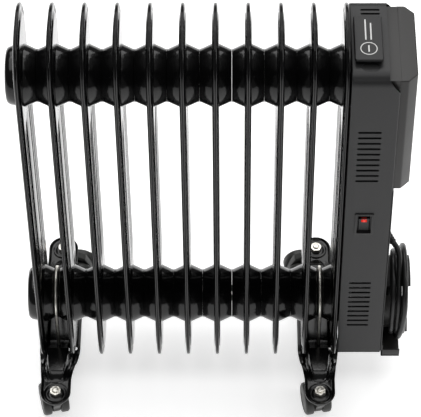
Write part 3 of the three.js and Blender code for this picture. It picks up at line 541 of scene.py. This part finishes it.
# plug: ribbed sleeve, body with finger grooves, blades and pin, made hanging and then laid
# along the tail
levels = np.linspace(0, 1, 46)
swell = 1 - 0.16 * ramp(levels, 0.72, 1.0) - 0.05 * ramp(1 - levels, 0.9, 1)
grooves = 0.035 * np.clip(np.sin(levels * 32 * 2 * math.pi / 4) * 1.4, 0, 1) * (
    ramp(levels, .2, .22)) * (1 - ramp(levels, .7, .72))
body_outline = rounded(22, 17, 5, 0, 0, 6)
body_rings = [np.column_stack([body_outline * (w - g) * (0.93 if k in (0, 45) else 1),
                               np.full(len(body_outline), 32 * h - 41)])
              for k, (h, w, g) in enumerate(zip(levels, swell, grooves))]
sleeve_z = np.linspace(-0.5, 9, 40)
sleeve_ribs = 0.4 * np.clip(np.sin(sleeve_z * 2 * math.pi / 2.4) * 1.6, -1, 0)
sleeve = spun(np.column_stack([6.4 - 1.4 * sleeve_z / 9 + sleeve_ribs, sleeve_z]), (0, 0, -9),
              (0, 0, 1), 36)
blades = [brick((side * 6.35 - 0.75, -7.2, -58), (side * 6.35 + 0.75, -0.8, -40), 0.5)
          for side in (-1, 1)]
pin = spun([(0.6, -20), (1.7, -19.2), (2.4, -17.5), (2.4, 1)], (0, 5, -41), (0, 0, 1), 24)


def laid(surface):
    """Turned about X so that down becomes the way back along the tail's line, from its end."""
    points, faces = surface
    side, ahead, down = np.asarray(points, float).T
    start = tail_point(tail_run + 8.3)
    cos, sin = math.cos(TAIL_RISE), math.sin(TAIL_RISE)
    return np.column_stack([start[0] + side, start[1] - down * cos - ahead * sin,
                            start[2] - down * sin + ahead * cos]), faces


plug = piece("mains_plug", laid(together(skin(body_rings), sleeve)), CORD, "plug",
             slot="cord_rubber", sharp=50)
pins = piece("plug_blades", laid(together(*blades, pin)), NICKEL, slot="steel", sharp=40)


# ---------------------------------------------------------------- fins and headers
def rim_ring(inwards):
    """The fin's outline moved inwards by that much, with points shared out along its sides."""
    r = FIN_CORNER - inwards
    half, up = FIN_DEPTH / 2 - FIN_CORNER, FIN_HEIGHT / 2 - FIN_CORNER
    angle = np.linspace(0, math.pi / 2, 14)
    cos, sin = r * np.cos(angle), r * np.sin(angle)
    side = np.linspace(-up, up, 42)[1:-1]
    quarter = np.stack([half + cos, up + sin], 1)
    ring = np.concatenate([
        np.stack([np.full(40, half + r), side], 1), quarter,
        quarter[::-1] * [-1, 1], np.stack([np.full(40, -half - r), side[::-1]], 1),
        quarter * [-1, -1], quarter[::-1] * [1, -1]])
    return ring + [0, FIN_LIFT + FIN_HEIGHT / 2]


def half_thickness(inwards, y, z):
    """A rolled hem, a flange, a step up over the oil, and between the headers upright channels:
    ridges 18 mm apart with cosine valleys 2.1 mm deep, fading out towards the headers."""
    channel = ramp(z, 158, 176) * (1 - ramp(z, 457, 475)) * (1 - ramp(np.abs(y), 40, 46))
    valley = 1.05 * (1 - np.cos(2 * math.pi * y / 18)) * channel
    hem = 0.9 * (1 - ramp(inwards, 3.0, 5.2))
    return 1.5 + hem + 2.3 * ramp(inwards, 7.6, 13) - valley


def fin_plate(x):
    """Rings of the outline from the middle of one face, over the rolled rim, to the other."""
    face = np.concatenate([np.linspace(56.8, 14.8, 27), [13, 12, 11, 10, 9, 8.2, 7.6, 6, 5.2, 4.7,
                                                         4.1, 3.5, 3.0]])
    bead = np.linspace(0, math.pi / 2, 7)
    half = []
    for e in face:
        ring = rim_ring(e)
        half.append((half_thickness(e, *ring.T), ring))
    for a in bead:
        ring = rim_ring(2.6 - 2.6 * math.sin(a))
        half.append((np.full(len(ring), 0.5 + 1.9 * math.cos(a)), ring))
    crease = rim_ring(0.45)
    half.append((np.full(len(crease), 0.05), crease))
    return skin([np.column_stack([x - t, ring]) for t, ring in half]
                + [np.column_stack([x + t, ring]) for t, ring in half[::-1]])


def hub(x, z, side, length):
    """A header's half between two fins: a fillet out of the plate, a cone to the neck, a weld."""
    fillet = np.linspace(0, math.pi / 2, 5)
    flare = [(HUB + 0.6 + 1.6 * (1 - math.sin(a)), 3.2 + 1.6 * (1 - math.cos(a))) for a in fillet]
    end = NECK + 0.4
    weld = [(end + 0.35 * math.sin(a), length - 1.1 + 1.1 * a / math.pi)
            for a in (0, 0.8, 1.6, 2.4, 3.0)]
    profile = [(HUB + 2.2, 1.5), *flare, *weld, (end - 0.5, length)]
    return spun(profile, (x, 0, z), (side, 0, 0), 72)


for number, x in enumerate(FIN_PLACES, 1):
    reach = FIN_PITCH / 2 - 0.15
    parts = [fin_plate(x)]
    for z in (LOWER, UPPER):
        short = [(HUB + 4.5, 1.5), (HUB + 4.5, 3.3), (HUB + 2.4, 3.5), (HUB + 0.8, 3.8), (HUB, 4.2),
                 (30, 4.25)]
        outer = hub(x, z, -1, reach) if number > 1 else spun(short, (x, 0, z), (-1, 0, 0), 72)
        parts += [hub(x, z, 1, reach), outer]
    piece(f"oil_fin_{number:02}", together(*parts), FIN_GLOSS, f"fin_{number:02}",
          slot="gloss_black_paint", sharp=40)

# round caps on the first fin: a stepped disc with a soft rim
for name, z in (("upper", UPPER), ("lower", LOWER)):
    profile = [(34.2, 4.6), (34.5, 5.2), (34.4, 8), (33.9, 11), (33, 13.6), (31.6, 15.6),
               (30, 16.5), (28, 16.88), (24, 16.88), (22.6, 16.5), (21.4, 15.6), (18, 15.4),
               (6, 15.4), (5, 15.7),
               (4, 16.3), (2, 16.4)]
    piece(f"header_cap_{name}", spun(profile, (FIN_PLACES[0], 0, z), (-1, 0, 0), 72), GLOSS,
          f"end_cap_{name}", slot="satin_black_paint", sharp=40)


# ---------------------------------------------------------------- foot plates
def foot_half(y):
    """Half width: full in the middle, narrowing in a straight line, then a half circle."""
    taper = 26 - 7 * np.clip((y - 28) / (96 - 28), 0, 1)
    round_end = np.sqrt(np.maximum(19 ** 2 - np.maximum(y - STEM_Y, 0) ** 2, 0.6))
    return np.where(y > STEM_Y, round_end, taper)


def foot_height(a, y, half):
    """Low flanges beside a rib that rises off the saddle and ends in a curved nose, where its half
    width is 12 sqrt(1 - ((y - 52) / 46)^2); a pad with a dished ring, and a rim."""
    flange = 27.3 + (PAD_TOP - 27.3) * ramp(y, 28, 96)
    hump = 44 + 19 * ramp(y, 24, 52)
    rib = hump + (PAD_TOP - hump) * ramp(y, 84, 100)
    rib_half = 12 * np.sqrt(np.clip(1 - (np.maximum(y - 52, 0) / 46) ** 2, 0, 1))
    side = 1 - ramp(np.abs(a), rib_half, rib_half + 4)
    bead = 1.1 * np.exp(-((np.abs(a) - rib_half - 7.5) / 1.3) ** 2) * ramp(y, 40, 60) * (
        1 - ramp(y, 92, 99))
    rim = 3 * np.maximum(ramp(y, 52, 66) * ramp(np.abs(a), half - 3.6, half - 0.8),
                         ramp(y, STEM_Y + 15.4, STEM_Y + 18.2))
    from_stem = np.hypot(a, y - STEM_Y)
    dish = 1.3 * np.exp(-((from_stem - 11.5) / 2.2) ** 2)
    return flange + (np.maximum(rib, flange) - flange) * side + bead + rim - dish


def foot_plate(x):
    """The height on a grid of stations along Y and shares of the half width, with its underside
    a sheet's thickness below; the rim's edge is rounded."""
    end = STEM_Y + 19 * np.sin(np.linspace(0, math.radians(88), 22)[1:])
    ahead = np.concatenate([np.linspace(0, 90, 46), np.linspace(91.5, STEM_Y, 18), end])
    stations = np.concatenate([-ahead[:0:-1], ahead])
    share = (np.sin(np.linspace(-math.pi / 2, math.pi / 2, 61)) * 0.35
             + np.linspace(-1, 1, 61) * 0.65)
    y = np.abs(stations)[:, None]
    half = foot_half(y)
    a = share[None, :] * half
    z = foot_height(a, y, half)
    along = np.broadcast_to(stations[:, None], a.shape)
    top = np.stack([x + a, along, z], -1)
    low = np.stack([x + a * 0.995, along, z - 2.0], -1)[:, ::-1]
    lip = [np.stack([x + half * s * 1.006, stations[:, None], z[:, [i]] - 1.0], -1)
           for s, i in ((1, -1), (-1, 0))]
    return skin(np.concatenate([top, lip[0], low, lip[1]], 1))


def post(x, y, radius, low, high, sides=32):
    return spun([(radius, low), (radius, high)], (x, y, 0), (0, 0, 1), sides)


def hex_nut(x, y, low, across=13.0, height=6.5, turn=12):
    """A six-sided nut: at angle a the side lies at half / cos(a to the nearest flat's middle), and
    both rims drop by tan 30 degrees for what a corner stands out past the chamfer circle."""
    angle = np.linspace(0, 2 * math.pi, 96, endpoint=False)
    flat = (angle + math.radians(turn)) % (math.pi / 3) - math.pi / 6
    half = across / 2
    reach = half / np.cos(flat)
    drop = np.maximum(reach - half * 1.005, 0) * math.tan(math.radians(32))
    spokes = np.stack([np.cos(angle), np.sin(angle)], 1)
    rows = [(np.full(96, half * 0.62), np.full(96, low)),
            (np.full(96, half * 0.97), np.full(96, low)),
            (reach, low + drop), (reach, low + height - drop),
            (np.full(96, half * 0.985), np.full(96, low + height)),
            (np.full(96, half * 0.7), np.full(96, low + height)),
            (np.full(96, half * 0.64), np.full(96, low + height - 0.5))]
    return skin([np.column_stack([spokes * r[:, None] + [x, y], z]) for r, z in rows])


def stem_end(x, y, low, high, radius=4.0):
    """The stem's plain end with a domed tip."""
    tip = [(radius * math.cos(t), high - 1.2 + 1.2 * math.sin(t)) for t in np.linspace(0, 1.45, 9)]
    return spun([(radius, low), *tip], (x, y, 0), (0, 0, 1), 32)


FOOT_HOLES = [(0, STEM_Y, 3.9), (0, 32.9, 2.7), (19, 24, 3.4)]
for x, end in zip(FOOT_PLACES, ("left", "right")):
    holes = [post(x + dx, side * y, r, 5, 90) for dx, y, r in FOOT_HOLES for side in (-1, 1)]
    piece(f"pressed_foot_{end}", foot_plate(x), GLOSS, f"foot_plate_{end}",
          slot="gloss_black_paint", sharp=50, cut=together(*holes))
    bend = np.linspace(math.pi, 0, 41)
    arc = np.column_stack([np.full(41, x), 32.9 * np.cos(bend), LOWER + 32.9 * np.sin(bend)])
    legs = np.array([[x, -32.9, z] for z in (26, 50, 80, 105)])
    rod = np.concatenate([legs, arc, legs[::-1] * [1, -1, 1]])
    piece(f"u_rod_{end}", tube(rod, 2.3, 24), ZINC, f"u_bolt_{end}", slot="zinc", sharp=60)

stem_places = [(x, y) for y in (-STEM_Y, STEM_Y) for x in FOOT_PLACES]
for (name, turn), (x, y) in zip(CASTERS.items(), stem_places):
    nut = together(hex_nut(x, y, 57.0, turn=8 + turn * 1.7), stem_end(x, y, 36, 66.0))
    piece(f"stem_nut_{name}", nut, ZINC, f"stem_{name}", slot="zinc", sharp=32)

    # twin wheels: domed outer face, soft tread, a shallow ring round the axle's cap
    wheel = [(2.9, 5.6), (18.2, 5.6), (19.9, 6.0), (20.7, 7.0), (21, 8.4), (21, 13.4), (20.6, 14.9),
             (19.6, 16.1), (18.4, 16.7), (17.4, 16.5), (16.6, 16.0), (12, 16.7), (8, 17.0),
             (7.4, 16.6), (6.8, 16.9), (3, 17.0)]
    wheels = [spun(wheel, (x, y + TRAIL, WHEEL), (side, 0, 0), 72) for side in (-1, 1)]
    axle = spun([(2.8, -7), (2.8, 7)], (x, y + TRAIL, WHEEL), (1, 0, 0), 24)
    piece(f"twin_wheels_{name}", turned_about(together(*wheels, axle), x, y, turn), CASTER,
          f"wheels_{name}", body=f"wheels_{name}", slot="caster_plastic", sharp=40)

    # swivel body: a plate between the wheels with a hood edge, under a round head
    under = np.linspace(math.pi, 2 * math.pi, 21)
    web = np.column_stack([TRAIL + 18.2 * np.cos(under), WHEEL + 18.2 * np.sin(under)]).tolist()
    web += [[TRAIL + 15, 33], [TRAIL + 8, 46.2], [10, 53.5], [-10, 53.5], [-10, 42.5]]
    web = soften(web, 2, 4, True)
    plate = slab(web + [y, 0], x - 4.8, x + 4.8, 0.9, "x")
    head = spun([(4.4, 46.2), (11.6, 46.2), (12.6, 46.8), (13, 47.8), (13, 52.2), (12.6, 53.4),
                 (11.8, 54.1),
                 (4.4, 54.2)], (x, y, 0), (0, 0, 1), 64)
    piece(f"caster_body_{name}", turned_about(together(plate, head), x, y, turn), CASTER,
          f"fork_{name}", body=f"fork_{name}", slot="caster_plastic", sharp=40)


# ---------------------------------------------------------------- control housing
def arch(inwards):
    """Half points of the bent sheet: up the back, over the two rounded corners, down the front."""
    half, top, r = 63.7 - inwards, HOUSING_TOP - inwards, 15.5 - inwards
    angle = np.linspace(0, math.pi / 2, 15)
    back = np.stack([half - r + r * np.cos(angle), top - r + r * np.sin(angle)], 1)
    return np.concatenate([[[half, HOUSING_BOTTOM]], back, back[::-1] * [-1, 1],
                           [[-half, HOUSING_BOTTOM]]])


def rolled_wrap():
    """The sheet's cut section, a strip whose two edges roll inwards, carried along the arch."""
    quarter = np.linspace(0, math.pi / 2, 6)
    r = 1.7
    outer = [(r * (1 - math.cos(a)), r * (1 - math.sin(a))) for a in quarter]
    inner = [(r - 0.7 * math.cos(a), r - 0.7 * math.sin(a)) for a in quarter]
    left = inner[::-1] + [(1.0, 2.8), (0.0, 2.8)] + outer
    long = HOUSING_END - HOUSING_START
    section = left + [(long - u, e) for u, e in left[::-1]]
    rings = [np.column_stack([np.full(len(arch(e)), HOUSING_START + u), arch(e)])
             for u, e in section]
    return skin(np.array(rings).transpose(1, 0, 2))


def through(width, height, radius, x, z, low=-70, high=-55):
    """A round-cornered cutter through the front, running along Y."""
    return slab(rounded(width, height, radius, x, z, 5), low, high, 0.01, "y", 1)


cutters = []
for top in (492.0, 215.0):
    for i in range(10):
        for low, high in ((-70, -55), (55, 70)):
            cutters.append(through(27, 3.4, 1.65, VENT_X, top - 9.4 * i, low, high))
for y in (37.5, 43.8):
    cutters.append(slab(rounded(22, 2.8, 1.35, VENT_X, y, 5), 575, 590, 0.01, "z", 1))
cutters.append(through(20, 35, 1.0, VENT_X, ROCKER_Z))
scoop_angle = np.linspace(0, 2 * math.pi, 48, endpoint=False)
scoop = np.stack([VENT_X - 2 + 10.5 * np.cos(scoop_angle), -45.5 + 7.6 * np.sin(scoop_angle)], 1)
cutters.append(slab(scoop, 576, 590, 0.01, "z", 1))
notch = np.array([[231.3, 590], [231.3, 575.4], [243.5, 557.4], [250, 557.4], [250, 590]])
cutters.append(slab(notch, -70, 70, 0.01, "y", 1))
piece("bent_housing", rolled_wrap(), SATIN, "housing_wrap", slot="satin_black_paint", sharp=40,
      cut=together(*cutters))

# a dark tray under the scoop, so that fingers find the grip
scoop_middle = np.array([VENT_X - 2, -45.5])
scoop_bowl = [(scoop - scoop_middle) * k + scoop_middle for k in (1.06, 1.0, 0.93, 0.7, 0.2)]
bowl_z = (580.3, 579.6, 574.0, 571.0, 570.2)
bowl = [np.column_stack([p, np.full(48, z)]) for p, z in zip(scoop_bowl, bowl_z)]
under = [np.column_stack([p, np.full(48, z - 1.0)]) for p, z in zip(scoop_bowl, bowl_z)]
piece("grip_bowl", skin(bowl + under[::-1]), PLASTIC, slot="dark_plastic")

grip_x = HOUSING_START + 19.6
low_part = slab(rounded(32, 61, 3, grip_x, -3.5, 6), 581.6, 586.2, 0.7)
high_part = slab(rounded(32, 69, 3, grip_x, -7.5, 6), 585.3, 589.7, 1.3, steps=5)
piece("hand_grip", together(low_part, high_part), PLASTIC, "top_grip", slot="dark_plastic",
      sharp=45)

# generic care mark: a ring with an upright bar in it, and two longer bars behind it
MARK_Y, MARK_R = -24.5, 9.6
circle = np.linspace(0, 2 * math.pi, 60, endpoint=False)
rim_line = [(MARK_R, 0), (MARK_R, 0.12), (MARK_R - 1, 0.12), (MARK_R - 1, 0)]
ring_mark = skin(np.array([[[grip_x + r * math.cos(a), MARK_Y + r * math.sin(a), 589.68 + h]
                            for r, h in rim_line] for a in circle]).tolist() +
                 [[[grip_x + r, MARK_Y, 589.68 + h] for r, h in rim_line]], capped=False)
bars = [brick((grip_x + u - 0.8, from_y, 589.6), (grip_x + u + 0.8, to_y, 589.8), 0.1)
        for u, from_y, to_y in ((0, MARK_Y - 5, MARK_Y + 5), (-3, -11, 20.6), (3, -11, 15))]
piece("care_mark", together(ring_mark, *bars), WHITE)

cover = slab(rounded(127.4, 314.3, 3, 0, 73 + 157.15, 5), 243.8, 244.8, 0.35, "x")
folds = [brick((234, side * 62.1 - 0.5, 75), (244.2, side * 62.1 + 0.5, 385), 0.3)
         for side in (-1, 1)]
piece("end_sheet", together(cover, *folds), SATIN, "end_cover", slot="satin_black_paint")


# ---------------------------------------------------------------- control panel
def panel_plan(inwards, start):
    """The panel seen from above, its two outer edges chamfered and its corners eased."""
    half, end = PANEL_HALF - inwards, PANEL_END - inwards
    chamfer = 11 - inwards * 0.4
    plan = np.array([[start, -half], [end - chamfer, -half], [end, -half + chamfer],
                     [end, half - chamfer], [end - chamfer, half], [start, half]])
    corners = [soften(plan[i - 1:i + 2], 1.6, 4)[1:-1] for i in range(1, 5)]
    return np.concatenate([plan[:1], *corners, plan[-1:]])


middle_z = PANEL_TOP - 92.5
shell = slab(panel_plan(0, 243.8), PANEL_LOW, PANEL_TOP, 1.4, steps=5)
neck = slab([[231.6, 572.3], [231.6, 569.4], [244.5, 553.4], [246, 553.4], [246, 572.3]], -58, 58,
            0.3, "y")
hollow = slab(panel_plan(2.5, 223.5), PANEL_LOW + 2.5, PANEL_TOP - 2.5, 0.01, steps=1)
window = slab(rounded(84, 150, 4, 0, middle_z, 6), 253, 270, 0.01, "x", 1)
body = piece("panel_body", shell, PANEL, "panel_shell", slot="dark_plastic", sharp=40,
             cut=together(window))
carved(body, hollow)
piece("panel_neck", neck, PANEL, slot="dark_plastic", sharp=40)

buttons_z = [middle_z + 75 - 64 - 19 * i for i in range(4)]
openings = [slab(rounded(27, 12, 5, 0, z, 6), 250, 270, 0.01, "x", 1) for z in buttons_z]
display_z = middle_z + 75 - 18 - 15
openings.append(slab(rounded(52, 30, 2, 0, display_z, 5), 250, 270, 0.01, "x", 1))
piece("panel_face", slab(rounded(83.4, 149.4, 4, 0, middle_z, 6), 261, 263.5, 0.6, "x"), WINDOW,
      "panel_fascia", slot="smoked_window", cut=together(*openings))
piece("display_glass", slab(rounded(51.4, 29.4, 2, 0, display_z, 5), 261, 263, 0.4, "x"), WINDOW,
      "display_window", slot="smoked_window")
for i, z in enumerate(buttons_z, 1):
    cap = slab(rounded(26, 11, 4.6, 0, z, 7), 259.7, 264.9, 1.1, "x", 5)
    back = slab(rounded(30, 14.4, 5, 0, z, 5), 259.2, 260.7, 0.2, "x")
    piece(f"key_{i}", together(cap, back), PLASTIC, f"button_{i}", body=f"button_{i}",
          slot="dark_plastic")
    lines = {1: [(0, 3.2, 0.35)], 2: [(0, 2.6, 0.35), (0, 0.35, 2.6)], 3: [(0, 2.6, 0.35)],
             4: [(-1.1, 0.35, 2.2), (1.1, 0.35, 2.2)]}[i]
    marks = [brick((264.8, u - w, z - h), (264.96, u + w, z + h), 0.06) for u, w, h in lines]
    piece(f"key_mark_{i}", together(*marks), WHITE, body=f"button_{i}")

# ---------------------------------------------------------------- power rocker
rim = slab(rounded(23, 38, 2, VENT_X, ROCKER_Z, 5), FACE_Y - 1.5, FACE_Y - 0.3, 0.5, "y")
block = slab(rounded(19.4, 34.4, 0.8, VENT_X, ROCKER_Z, 3), FACE_Y - 0.8, FACE_Y + 22, 0.2, "y")
pocket = slab(rounded(17, 32, 1, VENT_X, ROCKER_Z, 4), FACE_Y - 5, FACE_Y + 2.4, 0.01, "y", 1)
well = slab(rounded(14.2, 28, 0.5, VENT_X, ROCKER_Z, 3), FACE_Y - 5, FACE_Y + 16, 0.01, "y", 1)
piece("rocker_frame", together(rim), PLASTIC, slot="dark_plastic", cut=pocket)
switch_body = piece("rocker_body", block, PLASTIC, "switch_frame", slot="dark_plastic",
                    cut=together(well))
carved(switch_body, pocket)


def rocker_side():
    """The rocker from its side: a face dished to a 42 mm arc over a keel, turned 9 degrees."""
    z = np.linspace(13, -13, 25)
    sag = 42 - np.sqrt(42 ** 2 - z ** 2)
    face = np.stack([-8 + (42 - math.sqrt(42 ** 2 - 13 ** 2)) - sag, z], 1)
    side = soften(np.concatenate([face, [[0, -5], [3.5, 0], [0, 5]]]), 0.5, 3, True)
    a = math.radians(9)
    turn = np.array([[math.cos(a), math.sin(a)], [-math.sin(a), math.cos(a)]])
    return side @ turn + [FACE_Y + 8, ROCKER_Z]


def lens_block(grow, deep):
    """The lens's place, in the rocker's own layout, turned with it."""
    corners = rounded(7 + 2 * grow, 8 + 2 * grow, 0.6, 0, 6, 4)
    a = math.radians(9)
    rings = []
    for depth in (-14, deep):
        y = np.full(len(corners), float(depth))
        turned = np.stack([y * math.cos(a) - corners[:, 1] * math.sin(a),
                           y * math.sin(a) + corners[:, 1] * math.cos(a)], 1)
        rings.append(np.column_stack([corners[:, 0] + VENT_X, turned + [FACE_Y + 8, ROCKER_Z]]))
    return skin(rings)


rocker_body = slab(rocker_side(), VENT_X - 6.5, VENT_X + 6.5, 0.7, "x")
piece("power_rocker", rocker_body, PLASTIC, "rocker", body="rocker", slot="dark_plastic",
      sharp=30, cut=lens_block(0, -4))
lens = piece("rocker_light", rocker_body, RED, "rocker_lens", body="rocker", slot="red_lens",
             sharp=30)
keep = lens.modifiers.new("keep", "BOOLEAN")
tool = bpy.data.objects.new("tool", mesh_of("tool", lens_block(-0.15, -4.3)))
bpy.context.scene.collection.objects.link(tool)
keep.object, keep.solver, keep.operation = tool, "EXACT", "INTERSECT"
bpy.context.view_layer.update()
lens.data = bpy.data.meshes.new_from_object(
    lens.evaluated_get(bpy.context.evaluated_depsgraph_get()))
lens.modifiers.clear()
bpy.data.objects.remove(tool)
lens.data.materials.clear()
lens.data.materials.append(RED)

# ---------------------------------------------------------------- hooks and tray for the cord
HOOK_END = 278.5


def band(outer, thick, middle, sign):
    """A curved strip, from 50 to 130 degrees round one end of the coil."""
    angle = sign * np.radians(np.linspace(50, 130, 25))
    arcs = [np.stack([COIL_Y + r * np.cos(angle), middle + r * np.sin(angle)], 1)
            for r in (outer, outer - thick)]
    return np.concatenate([arcs[0], arcs[1][::-1]])


TAB_TOP = COIL_HIGH + 39.1 - 1.5
TAB_LOW = TAB_TOP - 20.5
tab = slab(rounded(10, 20.5, 1.5, COIL_Y - 3, (TAB_TOP + TAB_LOW) / 2, 5), HOOK_END - 3,
           HOOK_END, 0.8, "x", 4)
upper = slab(band(39.1, 3, COIL_HIGH, 1), 245.1, HOOK_END, 0.5, "x")
piece("upper_cord_hook", together(upper, tab), PLASTIC, "cord_hook_upper", slot="dark_plastic")
lower = slab(band(39.1, 3, COIL_LOW, -1), 245.1, HOOK_END, 0.5, "x")
lip = slab(band(45.1, 18, COIL_LOW, -1), HOOK_END - 3, HOOK_END, 0.8, "x")
TRAY, TRAY_FRONT, TRAY_BACK, TRAY_END = 58.7, -57.0, 64.0, 268.6
shelf = brick((245.1, TRAY_FRONT, TRAY - 3), (TRAY_END, TRAY_BACK, TRAY), 0.5)
back = brick((245.1, TRAY_FRONT, TRAY - 1), (247.1, TRAY_BACK, TRAY + 20), 0.4)
front = brick((245.1, TRAY_FRONT, TRAY - 3), (TRAY_END, TRAY_FRONT + 2, TRAY + 10), 0.4)
piece("lower_cord_hook", together(lower, lip, shelf, back, front), PANEL, "cord_hook_lower",
      slot="dark_plastic")

# ---------------------------------------------------------------- finishes of the kept frame pieces
for names, finish in (
        (("heat_shield", "filler_plug", "heating_element", "thermal_cutout"), STEEL),
        (("base_plate",), SATIN), (("control_board",), BOARD), (("tip_over_switch",), PLASTIC),
        ([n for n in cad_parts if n.startswith("wing_nut")], ZINC)):
    for name in names:
        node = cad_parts[name]
        node.data.materials.clear()
        node.data.materials.append(finish)


# ---------------------------------------------------------------- floor and light
def pale_floor():
    """A light table: a pale diffuse top that also glows softly."""
    made = Finish("studio_floor", Emission_Strength=0.58)
    made.set(Base_Color=made.blend(made.noise(3, 3), (0.90, 0.90, 0.90), (0.92, 0.92, 0.92)))
    made.set(Emission_Color=(1.0, 1.0, 1.0))
    return made.set(Roughness=0.8 + made.noise(30) * 0.1).material


floor_mesh = bpy.data.meshes.new("floor")
floor_mesh.from_pydata([(-6, -6, -0.0005), (6, -6, -0.0005), (6, 6, -0.0005), (-6, 6, -0.0005)], [],
                       [(0, 1, 2, 3)])
floor_mesh.materials.append(pale_floor())
floor = bpy.data.objects.new("floor", floor_mesh)
bpy.context.scene.collection.objects.link(floor)
floor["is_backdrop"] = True

world = bpy.data.worlds.new("studio")
bpy.context.scene.world = world
world.use_nodes = True
world.node_tree.nodes["Background"].inputs["Color"].default_value = (1, 1, 1, 1)
world.node_tree.nodes["Background"].inputs["Strength"].default_value = 0.12


def soft_light(name, place_at, look_at, size, power):
    light = bpy.data.objects.new(name, bpy.data.lights.new(name, "AREA"))
    bpy.context.scene.collection.objects.link(light)
    light.data.shape = "RECTANGLE"
    light.data.size, light.data.size_y = size
    light.data.energy = power
    light.location = place_at
    toward = Vector(look_at) - Vector(place_at)
    light.rotation_euler = toward.to_track_quat("-Z", "Y").to_euler()
    return light


soft_light("back_softbox", (0, 2.2, 2.6), (0, 0.2, 0.2), (3.2, 2.0), 42)
soft_light("top_softbox", (0, 0.3, 3.2), (0, 0, 0), (4.2, 3.0), 70)
soft_light("right_strip", (2.4, -0.4, 1.6), (0.2, 0, 0.35), (0.5, 1.6), 14)
soft_light("front_lamp_left", (-0.55, -2.6, 2.2), (0, 0, 0.3), (0.12, 0.12), 3)
soft_light("front_lamp_right", (0.55, -2.6, 2.2), (0, 0, 0.3), (0.12, 0.12), 3)

low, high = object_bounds()
